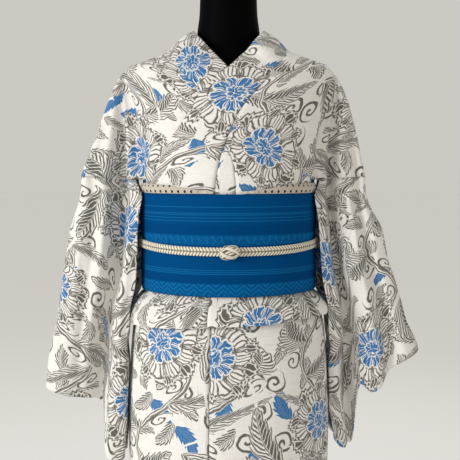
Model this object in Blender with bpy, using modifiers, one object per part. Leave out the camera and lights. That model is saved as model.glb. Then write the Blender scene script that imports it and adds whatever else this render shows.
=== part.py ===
# Cotton yukata robe with its obi, worn on a limbless dress form on a round stand.
# Metres, +Z up, the front faces -Y. The origin is the centre of the stand's underside.

from collections import namedtuple
from math import asin, cos, exp, pi, radians, sin

import bpy
from mathutils import Vector

# Cloth and seams.
WALL = 0.0015
COLLAR_WALL = 0.0030
OBI_WALL = 0.0030
GAP = 0.0003

# How far each layer of the wrapped front stands out from the body's own line.
RIGHT_COLLAR_OUT = 0.0015
LEFT_FRONT_OUT = 0.0042
LEFT_FRONT_LOW_OUT = 0.0028
LEFT_COLLAR_OUT = 0.0052
OBI_OUT = 0.0096
OBI_GROOVE = 0.0030
SKIRT_OVER_OUT = 0.0026
FOLD_CLEAR = 0.0009

# Heights.
OBI_BOTTOM = 0.957
OBI_TOP = 1.108
SKIRT_TOP = 0.944
HEM = 0.085
FORM_BOTTOM = 0.800
BASE_HEIGHT = 0.014
BASE_RADIUS = 0.165
POLE_RADIUS = 0.016

# Where the sleeves' wings start, as an angle from the front.
WING_ANGLE = 78
SLIT_BOTTOM = 1.092
SLEEVE_SEAM = 1.128

# The body's line at each height: half width, and the depth in front of and behind the axis.
Ring = namedtuple("Ring", "z width front back")
BODY = [
    Ring(0.085, 0.1500, 0.1160, 0.1120),
    Ring(0.400, 0.1580, 0.1220, 0.1180),
    Ring(0.680, 0.1615, 0.1250, 0.1210),
    Ring(0.750, 0.1625, 0.1250, 0.1210),
    Ring(0.830, 0.1590, 0.1235, 0.1190),
    Ring(0.870, 0.1560, 0.1215, 0.1170),
    Ring(0.900, 0.1530, 0.1190, 0.1150),
    Ring(0.915, 0.1490, 0.1165, 0.1130),
    Ring(0.930, 0.1440, 0.1130, 0.1090),
    Ring(0.945, 0.1375, 0.1085, 0.1055),
    Ring(0.957, 0.1300, 0.1030, 0.1030),
    Ring(1.108, 0.1300, 0.1030, 0.1030),
    Ring(1.150, 0.1340, 0.1045, 0.1050),
    Ring(1.200, 0.1430, 0.1030, 0.1050),
    Ring(1.250, 0.1550, 0.0950, 0.1010),
    Ring(1.280, 0.1635, 0.0840, 0.0945),
    Ring(1.292, 0.1660, 0.0770, 0.0895),
    Ring(1.304, 0.1590, 0.0700, 0.0835),
    Ring(1.3134, 0.1340, 0.0620, 0.0760),
    Ring(1.3246, 0.1030, 0.0520, 0.0650),
    Ring(1.336, 0.0860, 0.0430, 0.0550),
    Ring(1.360, 0.0560, 0.0260, 0.0360),
]

# The neck edge of the panels, where the collar is sewn on: how far from the middle at each height.
Neckline = namedtuple("Neckline", "z x")
FRONT_NECKLINE = [
    Neckline(0.9750, -0.0260),
    Neckline(1.0700, -0.0230),
    Neckline(1.1110, -0.0200),
    Neckline(1.1430, -0.0155),
    Neckline(1.1620, -0.0110),
    Neckline(1.1800, -0.0050),
    Neckline(1.2160, 0.0096),
    Neckline(1.2370, 0.0220),
    Neckline(1.2580, 0.0390),
    Neckline(1.2840, 0.0640),
    Neckline(1.3000, 0.0790),
    Neckline(1.3140, 0.0880),
    Neckline(1.3300, 0.0920),
]
BACK_NECKLINE = [
    Neckline(1.3000, 0.0000),
    Neckline(1.3060, 0.0300),
    Neckline(1.3140, 0.0580),
    Neckline(1.3220, 0.0790),
    Neckline(1.3300, 0.0920),
]

# The collar down the front: its folded edge, on the body's line, beside each height of the seam.
Lapel = namedtuple("Lapel", "seam_z edge_x edge_z")
LAPEL = [
    Lapel(1.0700, -0.1220, 1.0700),
    Lapel(1.1110, -0.1200, 1.1140),
    Lapel(1.1430, -0.1010, 1.1650),
    Lapel(1.1620, -0.0830, 1.1930),
    Lapel(1.1800, -0.0650, 1.2170),
    Lapel(1.2160, -0.0380, 1.2600),
    Lapel(1.2370, -0.0190, 1.2780),
    Lapel(1.2580, 0.0000, 1.2955),
    Lapel(1.2820, 0.0200, 1.3160),
    Lapel(1.2920, 0.0285, 1.3250),
]

# The collar round the neck: its folded edge beside each point of the seam, to the nape.
Nape = namedtuple("Nape", "seam_z back edge_x edge_y edge_z")
NAPE = [
    Nape(1.3000, False, 0.0370, -0.0480, 1.3370),
    Nape(1.3060, False, 0.0430, -0.0360, 1.3450),
    Nape(1.3140, False, 0.0490, -0.0220, 1.3530),
    Nape(1.3220, False, 0.0535, -0.0090, 1.3590),
    Nape(1.3300, False, 0.0560, 0.0030, 1.3625),
    Nape(1.3300, True, 0.0570, 0.0230, 1.3640),
    Nape(1.3220, True, 0.0545, 0.0460, 1.3635),
    Nape(1.3140, True, 0.0430, 0.0700, 1.3605),
    Nape(1.3060, True, 0.0240, 0.0860, 1.3575),
    Nape(1.3000, True, 0.0000, 0.0920, 1.3560),
]

# The seam between the front and its overlap panel, above the obi and under it.
OkumiSeam = namedtuple("OkumiSeam", "z x")
OKUMI_SEAM = [
    OkumiSeam(0.975, -0.0040),
    OkumiSeam(1.108, 0.0120),
    OkumiSeam(1.154, 0.0068),
    OkumiSeam(1.180, -0.0040),
    OkumiSeam(1.181, -0.0048),
]

# Each sleeve by height: where it starts beside the body, its outer fold, its middle and its half depth.
Fall = namedtuple("Fall", "z inner outer middle depth")
RIGHT_SLEEVE = [
    Fall(0.670, 0.1665, 0.3050, -0.012, 0.026),
    Fall(0.780, 0.1665, 0.2950, -0.014, 0.029),
    Fall(0.840, 0.1665, 0.2890, -0.014, 0.030),
    Fall(0.904, 0.1665, 0.2745, -0.014, 0.031),
    Fall(0.925, 0.1650, 0.2715, -0.014, 0.031),
    Fall(0.945, 0.1580, 0.2685, -0.014, 0.031),
    Fall(0.968, 0.1510, 0.2650, -0.014, 0.031),
    Fall(1.032, 0.1485, 0.2540, -0.013, 0.032),
    Fall(1.096, 0.1470, 0.2430, -0.010, 0.034),
    Fall(1.136, 0.1450, 0.2330, -0.006, 0.036),
    Fall(1.192, 0.1450, 0.2120, -0.002, 0.038),
    Fall(1.256, 0.1450, 0.1880, 0.000, 0.040),
    Fall(1.292, 0.1450, 0.1705, 0.000, 0.040),
]
LEFT_SLEEVE = [
    Fall(0.690, 0.1710, 0.3100, 0.000, 0.026),
    Fall(0.780, 0.1670, 0.3080, 0.002, 0.030),
    Fall(0.854, 0.1670, 0.3050, 0.004, 0.032),
    Fall(0.902, 0.1670, 0.2870, 0.004, 0.032),
    Fall(0.942, 0.1640, 0.2770, 0.004, 0.032),
    Fall(0.965, 0.1580, 0.2700, 0.004, 0.032),
    Fall(1.003, 0.1530, 0.2570, 0.003, 0.032),
    Fall(1.056, 0.1490, 0.2450, 0.001, 0.033),
    Fall(1.099, 0.1470, 0.2290, 0.000, 0.034),
    Fall(1.126, 0.1450, 0.2200, 0.000, 0.036),
    Fall(1.161, 0.1450, 0.2120, 0.000, 0.038),
    Fall(1.209, 0.1450, 0.2010, 0.000, 0.040),
    Fall(1.256, 0.1450, 0.1870, 0.000, 0.040),
    Fall(1.292, 0.1450, 0.1700, 0.000, 0.040),
]

# The rim of each sleeve: height against the share of the way from the inner to the outer fold.
Rim = namedtuple("Rim", "share z")
RIGHT_RIM = [
    Rim(0.00, 0.694),
    Rim(0.12, 0.680),
    Rim(0.24, 0.692),
    Rim(0.32, 0.765),
    Rim(0.38, 0.777),
    Rim(0.70, 0.788),
    Rim(1.00, 0.797),
]
LEFT_RIM = [
    Rim(0.00, 0.730),
    Rim(0.12, 0.702),
    Rim(0.24, 0.698),
    Rim(0.30, 0.760),
    Rim(0.34, 0.803),
    Rim(0.44, 0.792),
    Rim(0.54, 0.801),
    Rim(0.62, 0.820),
    Rim(0.76, 0.836),
    Rim(1.00, 0.854),
]

# Folds down each sleeve: share across at the top and at the rim, how deep, and how wide.
Crease = namedtuple("Crease", "top rim deep wide")
RIGHT_CREASES = [
    Crease(0.34, 0.30, 0.032, 0.11),
    Crease(0.52, 0.40, 0.010, 0.13),
]
LEFT_CREASES = [
    Crease(0.26, 0.25, 0.034, 0.07),
    Crease(0.60, 0.62, 0.011, 0.09),
]
BACK_CREASES = [
    Crease(0.36, 0.30, 0.018, 0.13),
    Crease(0.68, 0.62, 0.008, 0.12),
]

# The waist fold from the obi down and back up inside: height, half width, depth in front and behind.
FOLD = [
    Ring(0.9747, 0.1300, 0.1030, 0.1030),
    Ring(0.9580, 0.1305, 0.1035, 0.1035),
    Ring(0.9490, 0.1420, 0.1100, 0.1085),
    Ring(0.9400, 0.1510, 0.1180, 0.1150),
    Ring(0.9300, 0.1575, 0.1235, 0.1200),
    Ring(0.9215, 0.1605, 0.1260, 0.1225),
    Ring(0.9145, 0.1605, 0.1262, 0.1225),
    Ring(0.9110, 0.1580, 0.1240, 0.1203),
    Ring(0.9145, 0.1548, 0.1215, 0.1176),
    Ring(0.9230, 0.1508, 0.1190, 0.1152),
    Ring(0.9310, 0.1472, 0.1163, 0.1122),
]
FOLD_OUTER_ROWS = 7
FOLD_DROP_RIGHT = 0.0110
FOLD_RISE_LEFT = 0.0020

# The bow, seen from the side: up from the obi, over the pillow, down, under, up inside and down as the tail.
Side = namedtuple("Side", "y z")
BOW = [
    Side(0.1133, 1.000),
    Side(0.1136, 1.070),
    Side(0.1150, 1.128),
    Side(0.1270, 1.160),
    Side(0.1560, 1.176),
    Side(0.1880, 1.168),
    Side(0.2060, 1.135),
    Side(0.2090, 1.080),
    Side(0.2030, 1.000),
    Side(0.1930, 0.930),
    Side(0.1870, 0.898),
    Side(0.1750, 0.885),
    Side(0.1630, 0.897),
    Side(0.1600, 0.940),
    Side(0.1600, 1.000),
    Side(0.1552, 1.010),
    Side(0.1505, 1.000),
    Side(0.1500, 0.920),
    Side(0.1500, 0.825),
]
BOW_WIDTH = 0.300
HAND_Y = 0.1642
HAND_THICK = 0.0070
HAND_LENGTH = 0.316
HAND_LOW = 0.965
HAND_HIGH = 1.100

# The scarf above the obi: angle from the front, its height, and where it lies out from the body's line.
Scarf = namedtuple("Scarf", "angle top inner outer")
SCARF = [
    Scarf(9, 0.0035, 0.0064, 0.0094),
    Scarf(20, 0.0060, 0.0064, 0.0096),
    Scarf(40, 0.0120, 0.0064, 0.0100),
    Scarf(66, 0.0148, 0.0062, 0.0102),
    Scarf(80, 0.0152, 0.0030, 0.0100),
    Scarf(110, 0.0158, 0.0016, 0.0098),
    Scarf(135, 0.0180, 0.0014, 0.0090),
    Scarf(180, 0.0170, 0.0014, 0.0084),
]

CORD_HEIGHT = 0.0135
CORD_DEPTH = 0.0062
CORD_Z = 1.030
KNOT_WIDTH = 0.026
KNOT_HEIGHT = 0.021
KNOT_DEPTH = 0.017
KNOT_X = 0.002

# The form under the cloth: its height and how far inside the body's line it lies, then its neck.
FORM_RINGS = [
    (0.800, 0.0300),
    (0.806, 0.0100),
    (0.825, 0.0026),
    (0.870, 0.0028),
    (0.900, 0.0032),
    (0.930, 0.0032),
    (0.957, 0.0026),
    (1.100, 0.0026),
    (1.150, 0.0030),
    (1.200, 0.0040),
    (1.250, 0.0050),
    (1.278, 0.0060),
    (1.290, 0.0090),
    (1.298, 0.0180),
]
FORM_NECK = [
    Ring(1.308, 0.1060, 0.0540, 0.0560),
    Ring(1.320, 0.0740, 0.0480, 0.0480),
    Ring(1.334, 0.0550, 0.0465, 0.0465),
    Ring(1.346, 0.0510, 0.0465, 0.0465),
    Ring(1.362, 0.0495, 0.0460, 0.0460),
    Ring(1.390, 0.0460, 0.0455, 0.0455),
    Ring(1.416, 0.0450, 0.0450, 0.0450),
    Ring(1.446, 0.0445, 0.0445, 0.0445),
    Ring(1.452, 0.0400, 0.0400, 0.0400),
]
NECK_Y = 0.015

COLOURS = {
    "cotton": ((0.84, 0.82, 0.79), 0.85, 0.0),
    "obi": ((0.0, 0.09, 0.30), 0.55, 0.0),
    "scarf": ((0.74, 0.68, 0.56), 0.80, 0.0),
    "cord": ((0.69, 0.65, 0.50), 0.70, 0.0),
    "form": ((0.004, 0.004, 0.005), 0.60, 0.0),
    "metal": ((0.02, 0.02, 0.022), 0.40, 0.8),
}


def along(rows, column, at):
    """A smooth curve through one column of a table, against its first column, with no overshoot."""
    ordered = sorted(rows, key=lambda row: row[0])
    xs = [row[0] for row in ordered]
    ys = [getattr(row, column) for row in ordered]
    if at <= xs[0]:
        return ys[0]
    if at >= xs[-1]:
        return ys[-1]
    k = max(i for i in range(len(xs) - 1) if xs[i] <= at)
    rises = [(ys[i + 1] - ys[i]) / (xs[i + 1] - xs[i]) for i in range(len(xs) - 1)]

    def slope(i):
        if i == 0 or i == len(xs) - 1:
            return rises[0] if i == 0 else rises[-1]
        before, after = rises[i - 1], rises[i]
        return 0.0 if before * after <= 0 else 2 * before * after / (before + after)

    span = xs[k + 1] - xs[k]
    t = (at - xs[k]) / span
    low, high = slope(k) * span, slope(k + 1) * span
    return (
        ys[k] * (2 * t**3 - 3 * t**2 + 1)
        + ys[k + 1] * (3 * t**2 - 2 * t**3)
        + low * (t**3 - 2 * t**2 + t)
        + high * (t**3 - t**2)
    )


def lerp(a, b, t):
    return a + (b - a) * t


def ease(t):
    t = min(max(t, 0.0), 1.0)
    return t * t * (3 - 2 * t)


def spaced(first, last, count):
    return [lerp(first, last, i / count) for i in range(count + 1)]


def smooth_path(points, count):
    """Points evenly placed by number along a smooth curve through the given ones."""
    found = []
    last = len(points) - 1
    for i in range(count + 1):
        at = i / count * last
        k = min(int(at), last - 1)
        t = at - k
        a = points[max(k - 1, 0)]
        b = points[k]
        c = points[k + 1]
        d = points[min(k + 2, last)]
        found.append(
            tuple(
                0.5 * (2 * q + (r - p) * t + (2 * p - 5 * q + 4 * r - s) * t**2 + (3 * q - p - 3 * r + s) * t**3)
                for p, q, r, s in zip(a, b, c, d)
            )
        )
    return found


def body_point(angle, z, out=0.0, rows=BODY):
    """A point on the body's line, at an angle in degrees from the front towards +X."""
    turn = radians(angle)
    width = along(rows, "width", z) + out
    depth = along(rows, "front" if cos(turn) > 0 else "back", z) + out
    return Vector((width * sin(turn), -depth * cos(turn), z))


def angle_at(x, z, out=0.0):
    """The angle in degrees at which the front of the body's line has this x."""
    return asin(max(-1.0, min(1.0, x / (along(BODY, "width", z) + out)))) * 180 / pi


def material(name):
    found = bpy.data.materials.get(name)
    if found:
        return found
    colour, roughness, metallic = COLOURS[name]
    made = bpy.data.materials.new(name)
    made.use_nodes = True
    shader = made.node_tree.nodes["Principled BSDF"]
    shader.inputs["Base Color"].default_value = (*colour, 1)
    shader.inputs["Roughness"].default_value = roughness
    shader.inputs["Metallic"].default_value = metallic
    made.diffuse_color = (*colour, 1)
    return made


def add_object(name, mesh, finish):
    mesh.materials.append(material(finish))
    mesh.shade_smooth()
    mesh.set_sharp_from_angle(angle=radians(40))
    obj = bpy.data.objects.new(name, mesh)
    robe.objects.link(obj)
    return obj


def cloth(name, rows, finish, wall, skip=None, round_it=False, flip=False):
    """A wall inside the surface through rows of points. Cells for which skip is true are left open."""
    wide = len(rows[0])
    points = [tuple(p) for row in rows for p in row]
    faces = []
    for j in range(len(rows) - 1):
        for i in range(wide if round_it else wide - 1):
            if skip and skip(j, i):
                continue
            n = (i + 1) % wide
            face = (j * wide + i, j * wide + n, (j + 1) * wide + n, (j + 1) * wide + i)
            faces.append(face[::-1] if flip else face)
    used = sorted({k for face in faces for k in face})
    place = {k: i for i, k in enumerate(used)}
    mesh = bpy.data.meshes.new(name)
    mesh.from_pydata([points[k] for k in used], [], [tuple(place[k] for k in face) for face in faces])
    mesh.update()
    obj = add_object(name, mesh, finish)
    thick = obj.modifiers.new("Wall", "SOLIDIFY")
    thick.thickness = wall
    thick.offset = -1
    thick.use_even_offset = False
    return obj


def tube(name, rings, finish, closed=False):
    """A solid through rings of points, with a flat cap at each end unless it closes on itself."""
    wide = len(rings[0])
    points = [tuple(p) for ring in rings for p in ring]
    faces = []
    spans = len(rings) if closed else len(rings) - 1
    for j in range(spans):
        for i in range(wide):
            n = (i + 1) % wide
            k = (j + 1) % len(rings)
            faces.append((j * wide + i, j * wide + n, k * wide + n, k * wide + i))
    if not closed:
        faces.append(tuple(range(wide))[::-1])
        faces.append(tuple((len(rings) - 1) * wide + i for i in range(wide)))
    mesh = bpy.data.meshes.new(name)
    mesh.from_pydata(points, [], faces)
    mesh.update()
    return add_object(name, mesh, finish)


# Upper body and sleeves

SIDES = {
    "right": {"sign": -1, "fall": RIGHT_SLEEVE, "rim": RIGHT_RIM, "creases": RIGHT_CREASES},
    "left": {"sign": 1, "fall": LEFT_SLEEVE, "rim": LEFT_RIM, "creases": LEFT_CREASES},
}
SEAM_RISE = 0.006
UPPER_ROWS = [
    0.9755, 1.030, 1.070, SLIT_BOTTOM, SLEEVE_SEAM, 1.154, 1.180, 1.210, 1.240, 1.262, 1.282, 1.292, 1.300,
    1.306, 1.314, 1.322, 1.330,
]
FRONT_CELLS = 6
WING_FRONT_CELLS = 8
WING_BACK_CELLS = 6
BACK_CELLS = 6


def front_out(side, angle, z):
    """How far the front stands out over the layer under it, fading to nothing at the side."""
    if SIDES[side]["sign"] < 0:
        return 0.0
    full = lerp(LEFT_FRONT_LOW_OUT, LEFT_FRONT_OUT, ease((z - 1.045) / 0.02))
    return full * (1 - ease((angle - 70) / (WING_ANGLE - 70)))


def seam_x(z):
    """The seam between the collar and the front, for the wearer's left, by height."""
    return along(FRONT_NECKLINE, "x", z)


def front_edge_x(z):
    """The inner edge of the front panel: the collar seam above, the overlap panel's seam below."""
    return max(seam_x(z), along(OKUMI_SEAM, "x", z) if z < OKUMI_SEAM[-1].z else -1)


def sleeve_section(side, share, z, back, rim_share=0.0):
    """A point of a sleeve's section: share runs from the inner fold to the outer one."""
    shape = SIDES[side]
    inner = along(shape["fall"], "inner", z)
    outer = along(shape["fall"], "outer", z)
    middle = along(shape["fall"], "middle", z)
    depth = along(shape["fall"], "depth", z)
    full = (1 - share**6) ** 0.5
    closed = ease((0.86 - z) / 0.10)
    full *= 1 - closed * (1 - (1 - (1 - min(share / 0.10, 1.0)) ** 2) ** 0.5)
    y = depth * full
    for crease in BACK_CREASES if back else shape["creases"]:
        centre = lerp(crease.top, crease.rim, rim_share)
        y -= crease.deep * full * exp(-(((share - centre) / crease.wide) ** 2))
    return Vector((shape["sign"] * lerp(inner, outer, share), middle + (y if back else -y), z))


def wing_point(side, share, z, back):
    """A point of the cloth that falls from the shoulder tip to the sleeve, out from the body's side."""
    shape = SIDES[side]
    sign = shape["sign"]
    start_angle = WING_ANGLE if not back else 180 - WING_ANGLE
    start = body_point(start_angle, z)
    turn = radians(start_angle)
    width = along(BODY, "width", z)
    depth = along(BODY, "back" if back else "front", z)
    leave = Vector((width * cos(turn), depth * sin(turn), 0)) * (1 if not back else -1)
    outer_x = max(along(shape["fall"], "outer", z), width)
    reach = outer_x - start.x
    fold_depth = min(along(shape["fall"], "depth", z), depth) * 0.9
    fold = Vector((outer_x, along(shape["fall"], "middle", z), z))
    bend_a = start + leave.normalized() * min(reach, 0.03) * 0.4
    bend_b = fold + Vector((0, fold_depth if back else -fold_depth, 0))
    t = share
    point = start * (1 - t) ** 3 + bend_a * 3 * t * (1 - t) ** 2 + bend_b * 3 * t**2 * (1 - t) + fold * t**3
    fade = 1 - ease((z - SLEEVE_SEAM) / (1.285 - SLEEVE_SEAM))
    for crease in BACK_CREASES if back else shape["creases"]:
        centre = lerp(0.25, 1.0, crease.top)
        dent = crease.deep * 0.8 * fade * exp(-(((share - centre) / (crease.wide * 0.8)) ** 2)) * (1 - share**4)
        point.y += -dent if back else dent
    return Vector((sign * point.x, point.y, z))


def seam_height(share):
    """The sleeve seam rises from the armpit to the outer fold."""
    return SLEEVE_SEAM + SEAM_RISE * ease(share)


def upper_row(side, z):
    """One row of a body panel: from the front edge round the outer fold to the back seam."""
    sign = SIDES[side]["sign"]
    top = UPPER_ROWS[-1]
    wing_angle = lerp(WING_ANGLE, 88, ease((z - 1.292) / (top - 1.292)))
    edge = angle_at(front_edge_x(z) + 0.6 * GAP, z, front_out(side, 0, z))
    row = []
    for angle in spaced(edge, wing_angle, FRONT_CELLS):
        p = body_point(angle, z, front_out(side, angle, z))
        row.append(Vector((sign * p.x, p.y, z)))
    above = z >= SLEEVE_SEAM
    lift = 1 - ease((z - SLEEVE_SEAM) / (1.29 - SLEEVE_SEAM))
    wings = [(s, False) for s in spaced(0, 1, WING_FRONT_CELLS)[1:]]
    wings += [(s, True) for s in spaced(1, 0, WING_BACK_CELLS)[1:]]
    for n, (share, back) in enumerate(wings):
        if above and z < 1.299:
            height = z + (seam_height(share) - SLEEVE_SEAM) * lift
            row.append(wing_point(side, share, height, back))
        else:
            angle = lerp(wing_angle, 180 - wing_angle, (n + 1) / len(wings))
            p = body_point(angle, z)
            row.append(Vector((sign * p.x, p.y, z)))
    end = 180 - angle_at(along(BACK_NECKLINE, "x", z) + 0.6 * GAP, z)
    for angle in spaced(180 - wing_angle, end, BACK_CELLS)[1:]:
        p = body_point(angle, z)
        row.append(Vector((sign * p.x, p.y, z)))
    return row


def make_upper(side):
    first = FRONT_CELLS
    last = FRONT_CELLS + WING_FRONT_CELLS + WING_BACK_CELLS
    slit = UPPER_ROWS.index(SLIT_BOTTOM)
    rows = [upper_row(side, z) for z in UPPER_ROWS]
    cloth(
        f"body_{side}_upper",
        rows,
        "cotton",
        WALL,
        skip=lambda j, i: j == slit and first <= i < last,
        flip=SIDES[side]["sign"] < 0,
    )


def make_upper_okumi(side):
    sign = SIDES[side]["sign"]
    rows = []
    for z in [z for z in UPPER_ROWS if z <= 1.180]:
        out = front_out(side, 0, z)
        low = angle_at(seam_x(z) + 0.6 * GAP, z, out)
        high = angle_at(max(front_edge_x(z) - 0.6 * GAP, seam_x(z) + 1.4 * GAP), z, out)
        rows.append([])
        for angle in spaced(low, high, 3):
            p = body_point(angle, z, out)
            rows[-1].append(Vector((sign * p.x, p.y, z)))
    cloth(f"okumi_{side}_upper", rows, "cotton", WALL, flip=sign < 0)


def make_sleeve(side):
    shape = SIDES[side]
    shares = [0, 0.05, 0.12, 0.18, 0.24, 0.29, 0.34, 0.40, 0.48, 0.57, 0.66, 0.76, 0.86, 0.94, 0.98, 1.0]
    back_shares = [0.97, 0.9, 0.78, 0.64, 0.5, 0.38, 0.28, 0.18, 0.08, 0]
    columns = [(s, False) for s in shares] + [(s, True) for s in back_shares]
    steps = [0, 0.03, 0.09, 0.18, 0.28, 0.38, 0.48, 0.58, 0.68, 0.77, 0.85, 0.92, 1.0]
    seam_reach = 0.24
    rows = []
    for v in steps:
        row = []
        for share, back in columns:
            wing_share = lerp(seam_reach, 1.0, share)
            top = seam_height(wing_share) - 0.0005
            z = lerp(top, along(shape["rim"], "z", share), v)
            start = wing_point(side, wing_share, top, back)
            here = sleeve_section(side, share, z, back, v)
            blend = ease((top - z) / 0.09)
            row.append(Vector((lerp(start.x, here.x, blend), lerp(start.y, here.y, blend), z)))
        rows.append(row)
    open_rows = 7
    last = len(columns) - 1
    cloth(
        f"sleeve_{side}",
        rows,
        "cotton",
        WALL,
        skip=lambda j, i: i == last and j < open_rows,
        round_it=True,
        flip=shape["sign"] > 0,
    )


# Collar

COLLAR_SHARES = (0, 0.18, 0.36, 0.54, 0.70, 0.86, 1)
COLLAR_SEAM_GAP = 0.0006


def seam_point(z, sign, back):
    """A point just inside the neck edge of the panels, on the body's line."""
    x = along(BACK_NECKLINE if back else FRONT_NECKLINE, "x", z) - COLLAR_SEAM_GAP
    angle = angle_at(max(x, 0), z)
    p = body_point(180 - angle if back else angle, z, -COLLAR_SEAM_GAP if back else 0)
    return Vector((sign * p.x, p.y, z + (0.0022 if back else 0.0010)))


def collar_side(sign, out):
    """Rows across one half of the collar, from its lower end to the nape, at the heights of the panels' rows."""
    rows = []
    for seam_z in [z for z in UPPER_ROWS if LAPEL[0].seam_z <= z <= LAPEL[-1].seam_z]:
        edge_x = along(LAPEL, "edge_x", seam_z) * (1.0 if sign > 0 else 0.93)
        edge_z = along(LAPEL, "edge_z", seam_z)
        seam = seam_x(seam_z) - COLLAR_SEAM_GAP
        here = lerp(out, RIGHT_COLLAR_OUT, ease((seam_z - 1.262) / 0.03))
        row = []
        for share in COLLAR_SHARES:
            x = lerp(edge_x, seam, share)
            z = lerp(edge_z, seam_z, share)
            p = body_point(angle_at(x, z, here), z, here)
            row.append(Vector((sign * p.x, p.y, z)))
        rows.append(row)
    for stop in NAPE:
        edge = Vector((sign * stop.edge_x, stop.edge_y, stop.edge_z))
        seam = seam_point(stop.seam_z, sign, stop.back)
        row = []
        for share in COLLAR_SHARES:
            p = edge.lerp(seam, share)
            bulge = 0.004 * sin(pi * share)
            row.append(p + Vector((sign * bulge * 0.4, bulge * (0.9 if stop.back else -0.9), bulge * 0.4)))
        rows.append(row)
    return rows


def make_collar():
    left = collar_side(1, LEFT_COLLAR_OUT)
    right = collar_side(-1, RIGHT_COLLAR_OUT)
    cloth("collar", left + right[::-1][1:], "cotton", COLLAR_WALL)


# Skirt and waist fold

Panel = namedtuple("Panel", "name start end cells out")
SKIRT = [
    Panel("back_left_lower", 88, 180, 8, 0.0),
    Panel("back_right_lower", -180, -88, 8, 0.0),
    Panel("front_right_lower", -88, 4, 8, 0.0),
    Panel("okumi_right_lower", 4, 62, 5, 0.0),
    Panel("front_left_lower", -10, 88, 9, SKIRT_OVER_OUT),
    Panel("okumi_left_lower", -68, -10, 6, SKIRT_OVER_OUT),
]
SKIRT_ROWS = [0.085, 0.16, 0.30, 0.46, 0.62, 0.74, 0.81, 0.86, 0.895, 0.915, 0.93, SKIRT_TOP]
SEAM_ANGLE = 0.13


def skirt_out(panel, angle):
    """The overlapping front stands out, and comes in to the side seam at its far end."""
    return panel.out * (1 - ease((angle - 66) / 20))


def make_skirt():
    for panel in SKIRT:
        rows = []
        for z in SKIRT_ROWS:
            row = []
            for angle in spaced(panel.start + SEAM_ANGLE, panel.end - SEAM_ANGLE, panel.cells):
                raised = 0.014 * ease((-30 - angle) / 38) if panel.name == "okumi_left_lower" else 0.0
                height = z + raised * (1 - ease((z - HEM) / 0.3))
                row.append(body_point(angle, height, skirt_out(panel, angle)))
            rows.append(row)
        cloth(panel.name, rows, "cotton", WALL)


FOLD_PARTS = [
    Panel("waist_fold_left", -11, 180, 16, 0.0),
    Panel("waist_fold_okumi", -72, -11, 6, 0.0),
    Panel("waist_fold_right", -180, -72, 9, 0.0),
]


def fold_shift(angle):
    """The fold's lower edge hangs lower on the wearer's right side than on the left."""
    turn = sin(radians(angle))
    return FOLD_RISE_LEFT * turn if turn > 0 else FOLD_DROP_RIGHT * turn


def fold_out(n, angle):
    """The fold follows the layers under it: the obi's inside at its top, the skirt's overlap at its hem."""
    over = 1 - ease((angle - 66) / 20) if angle > -72 else 0.0
    if n < FOLD_OUTER_ROWS:
        return LEFT_FRONT_LOW_OUT * over
    return SKIRT_OVER_OUT * over + FOLD_CLEAR


def make_waist_fold():
    for part in FOLD_PARTS:
        rows = []
        for n, ring in enumerate(FOLD):
            share = ease((0.957 - ring.z) / 0.04)
            row = []
            for angle in spaced(part.start + SEAM_ANGLE, part.end - SEAM_ANGLE, part.cells):
                turn = radians(angle)
                depth = ring.front if cos(turn) > 0 else ring.back
                out = fold_out(n, angle)
                height = ring.z + fold_shift(angle) * share
                row.append(Vector(((ring.width + out) * sin(turn), -(depth + out) * cos(turn), height)))
            rows.append(row)
        cloth(part.name, rows, "cotton", WALL, flip=True)


# Obi, bow, scarf and cord

def cord_z(y):
    """The cord dips a little towards the middle of the front."""
    return CORD_Z - 0.006 * ease((-y - 0.02) / 0.1)


def make_obi():
    rows = []
    for z, inset in ((OBI_BOTTOM, 0), (-0.013, 0), (0, OBI_GROOVE), (0.013, 0), (OBI_TOP, 0)):
        row = []
        for angle in spaced(0, 360, 44)[:-1]:
            p = body_point(angle, OBI_BOTTOM, OBI_OUT - inset)
            row.append(Vector((p.x, p.y, z if z > 0.5 else cord_z(p.y) + z)))
        rows.append(row)
    cloth("obi_wrap", rows, "obi", OBI_WALL, round_it=True)


def make_bow():
    """The drum bow is one band of cloth across the back, and the obi's other end runs through it."""
    half = BOW_WIDTH / 2
    rows = []
    for y, z in smooth_path(BOW, 36):
        row = []
        for x in spaced(-half, half, 4):
            bowed = 0.006 * (x / half) ** 2 * ease((y - 0.165) / 0.03)
            row.append(Vector((x, y - bowed, z)))
        rows.append(row)
    cloth("obi_bow", rows, "obi", OBI_WALL)
    bpy.ops.mesh.primitive_cube_add(
        size=1,
        location=(0, HAND_Y + HAND_THICK / 2, (HAND_LOW + HAND_HIGH) / 2),
    )
    hand = bpy.context.object
    hand.name = "obi_hand"
    for vertex in hand.data.vertices:
        vertex.co = Vector(
            (vertex.co.x * HAND_LENGTH, vertex.co.y * HAND_THICK, vertex.co.z * (HAND_HIGH - HAND_LOW))
        )
    edge = hand.modifiers.new("Edge", "BEVEL")
    edge.width = 0.003
    edge.segments = 2
    adopt(hand, "obi")


def make_scarf():
    rings = []
    turns = spaced(SCARF[0].angle, 180, 20)
    for sign, angle in [(-1, a) for a in turns] + [(1, a) for a in turns[-2::-1]]:
        top = along(SCARF, "top", angle)
        inner = along(SCARF, "inner", angle)
        outer = along(SCARF, "outer", angle)
        ring = []
        for across, up in ((0, 0), (0.55, 0), (1, 0.35), (0.8, 0.8), (0.35, 1), (0, 0.7)):
            z = OBI_TOP + GAP + top * up
            p = body_point(angle, z, lerp(inner, outer, across))
            ring.append(Vector((sign * p.x, p.y, z)))
        rings.append(ring)
    tube("obiage", rings, "scarf")


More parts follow.
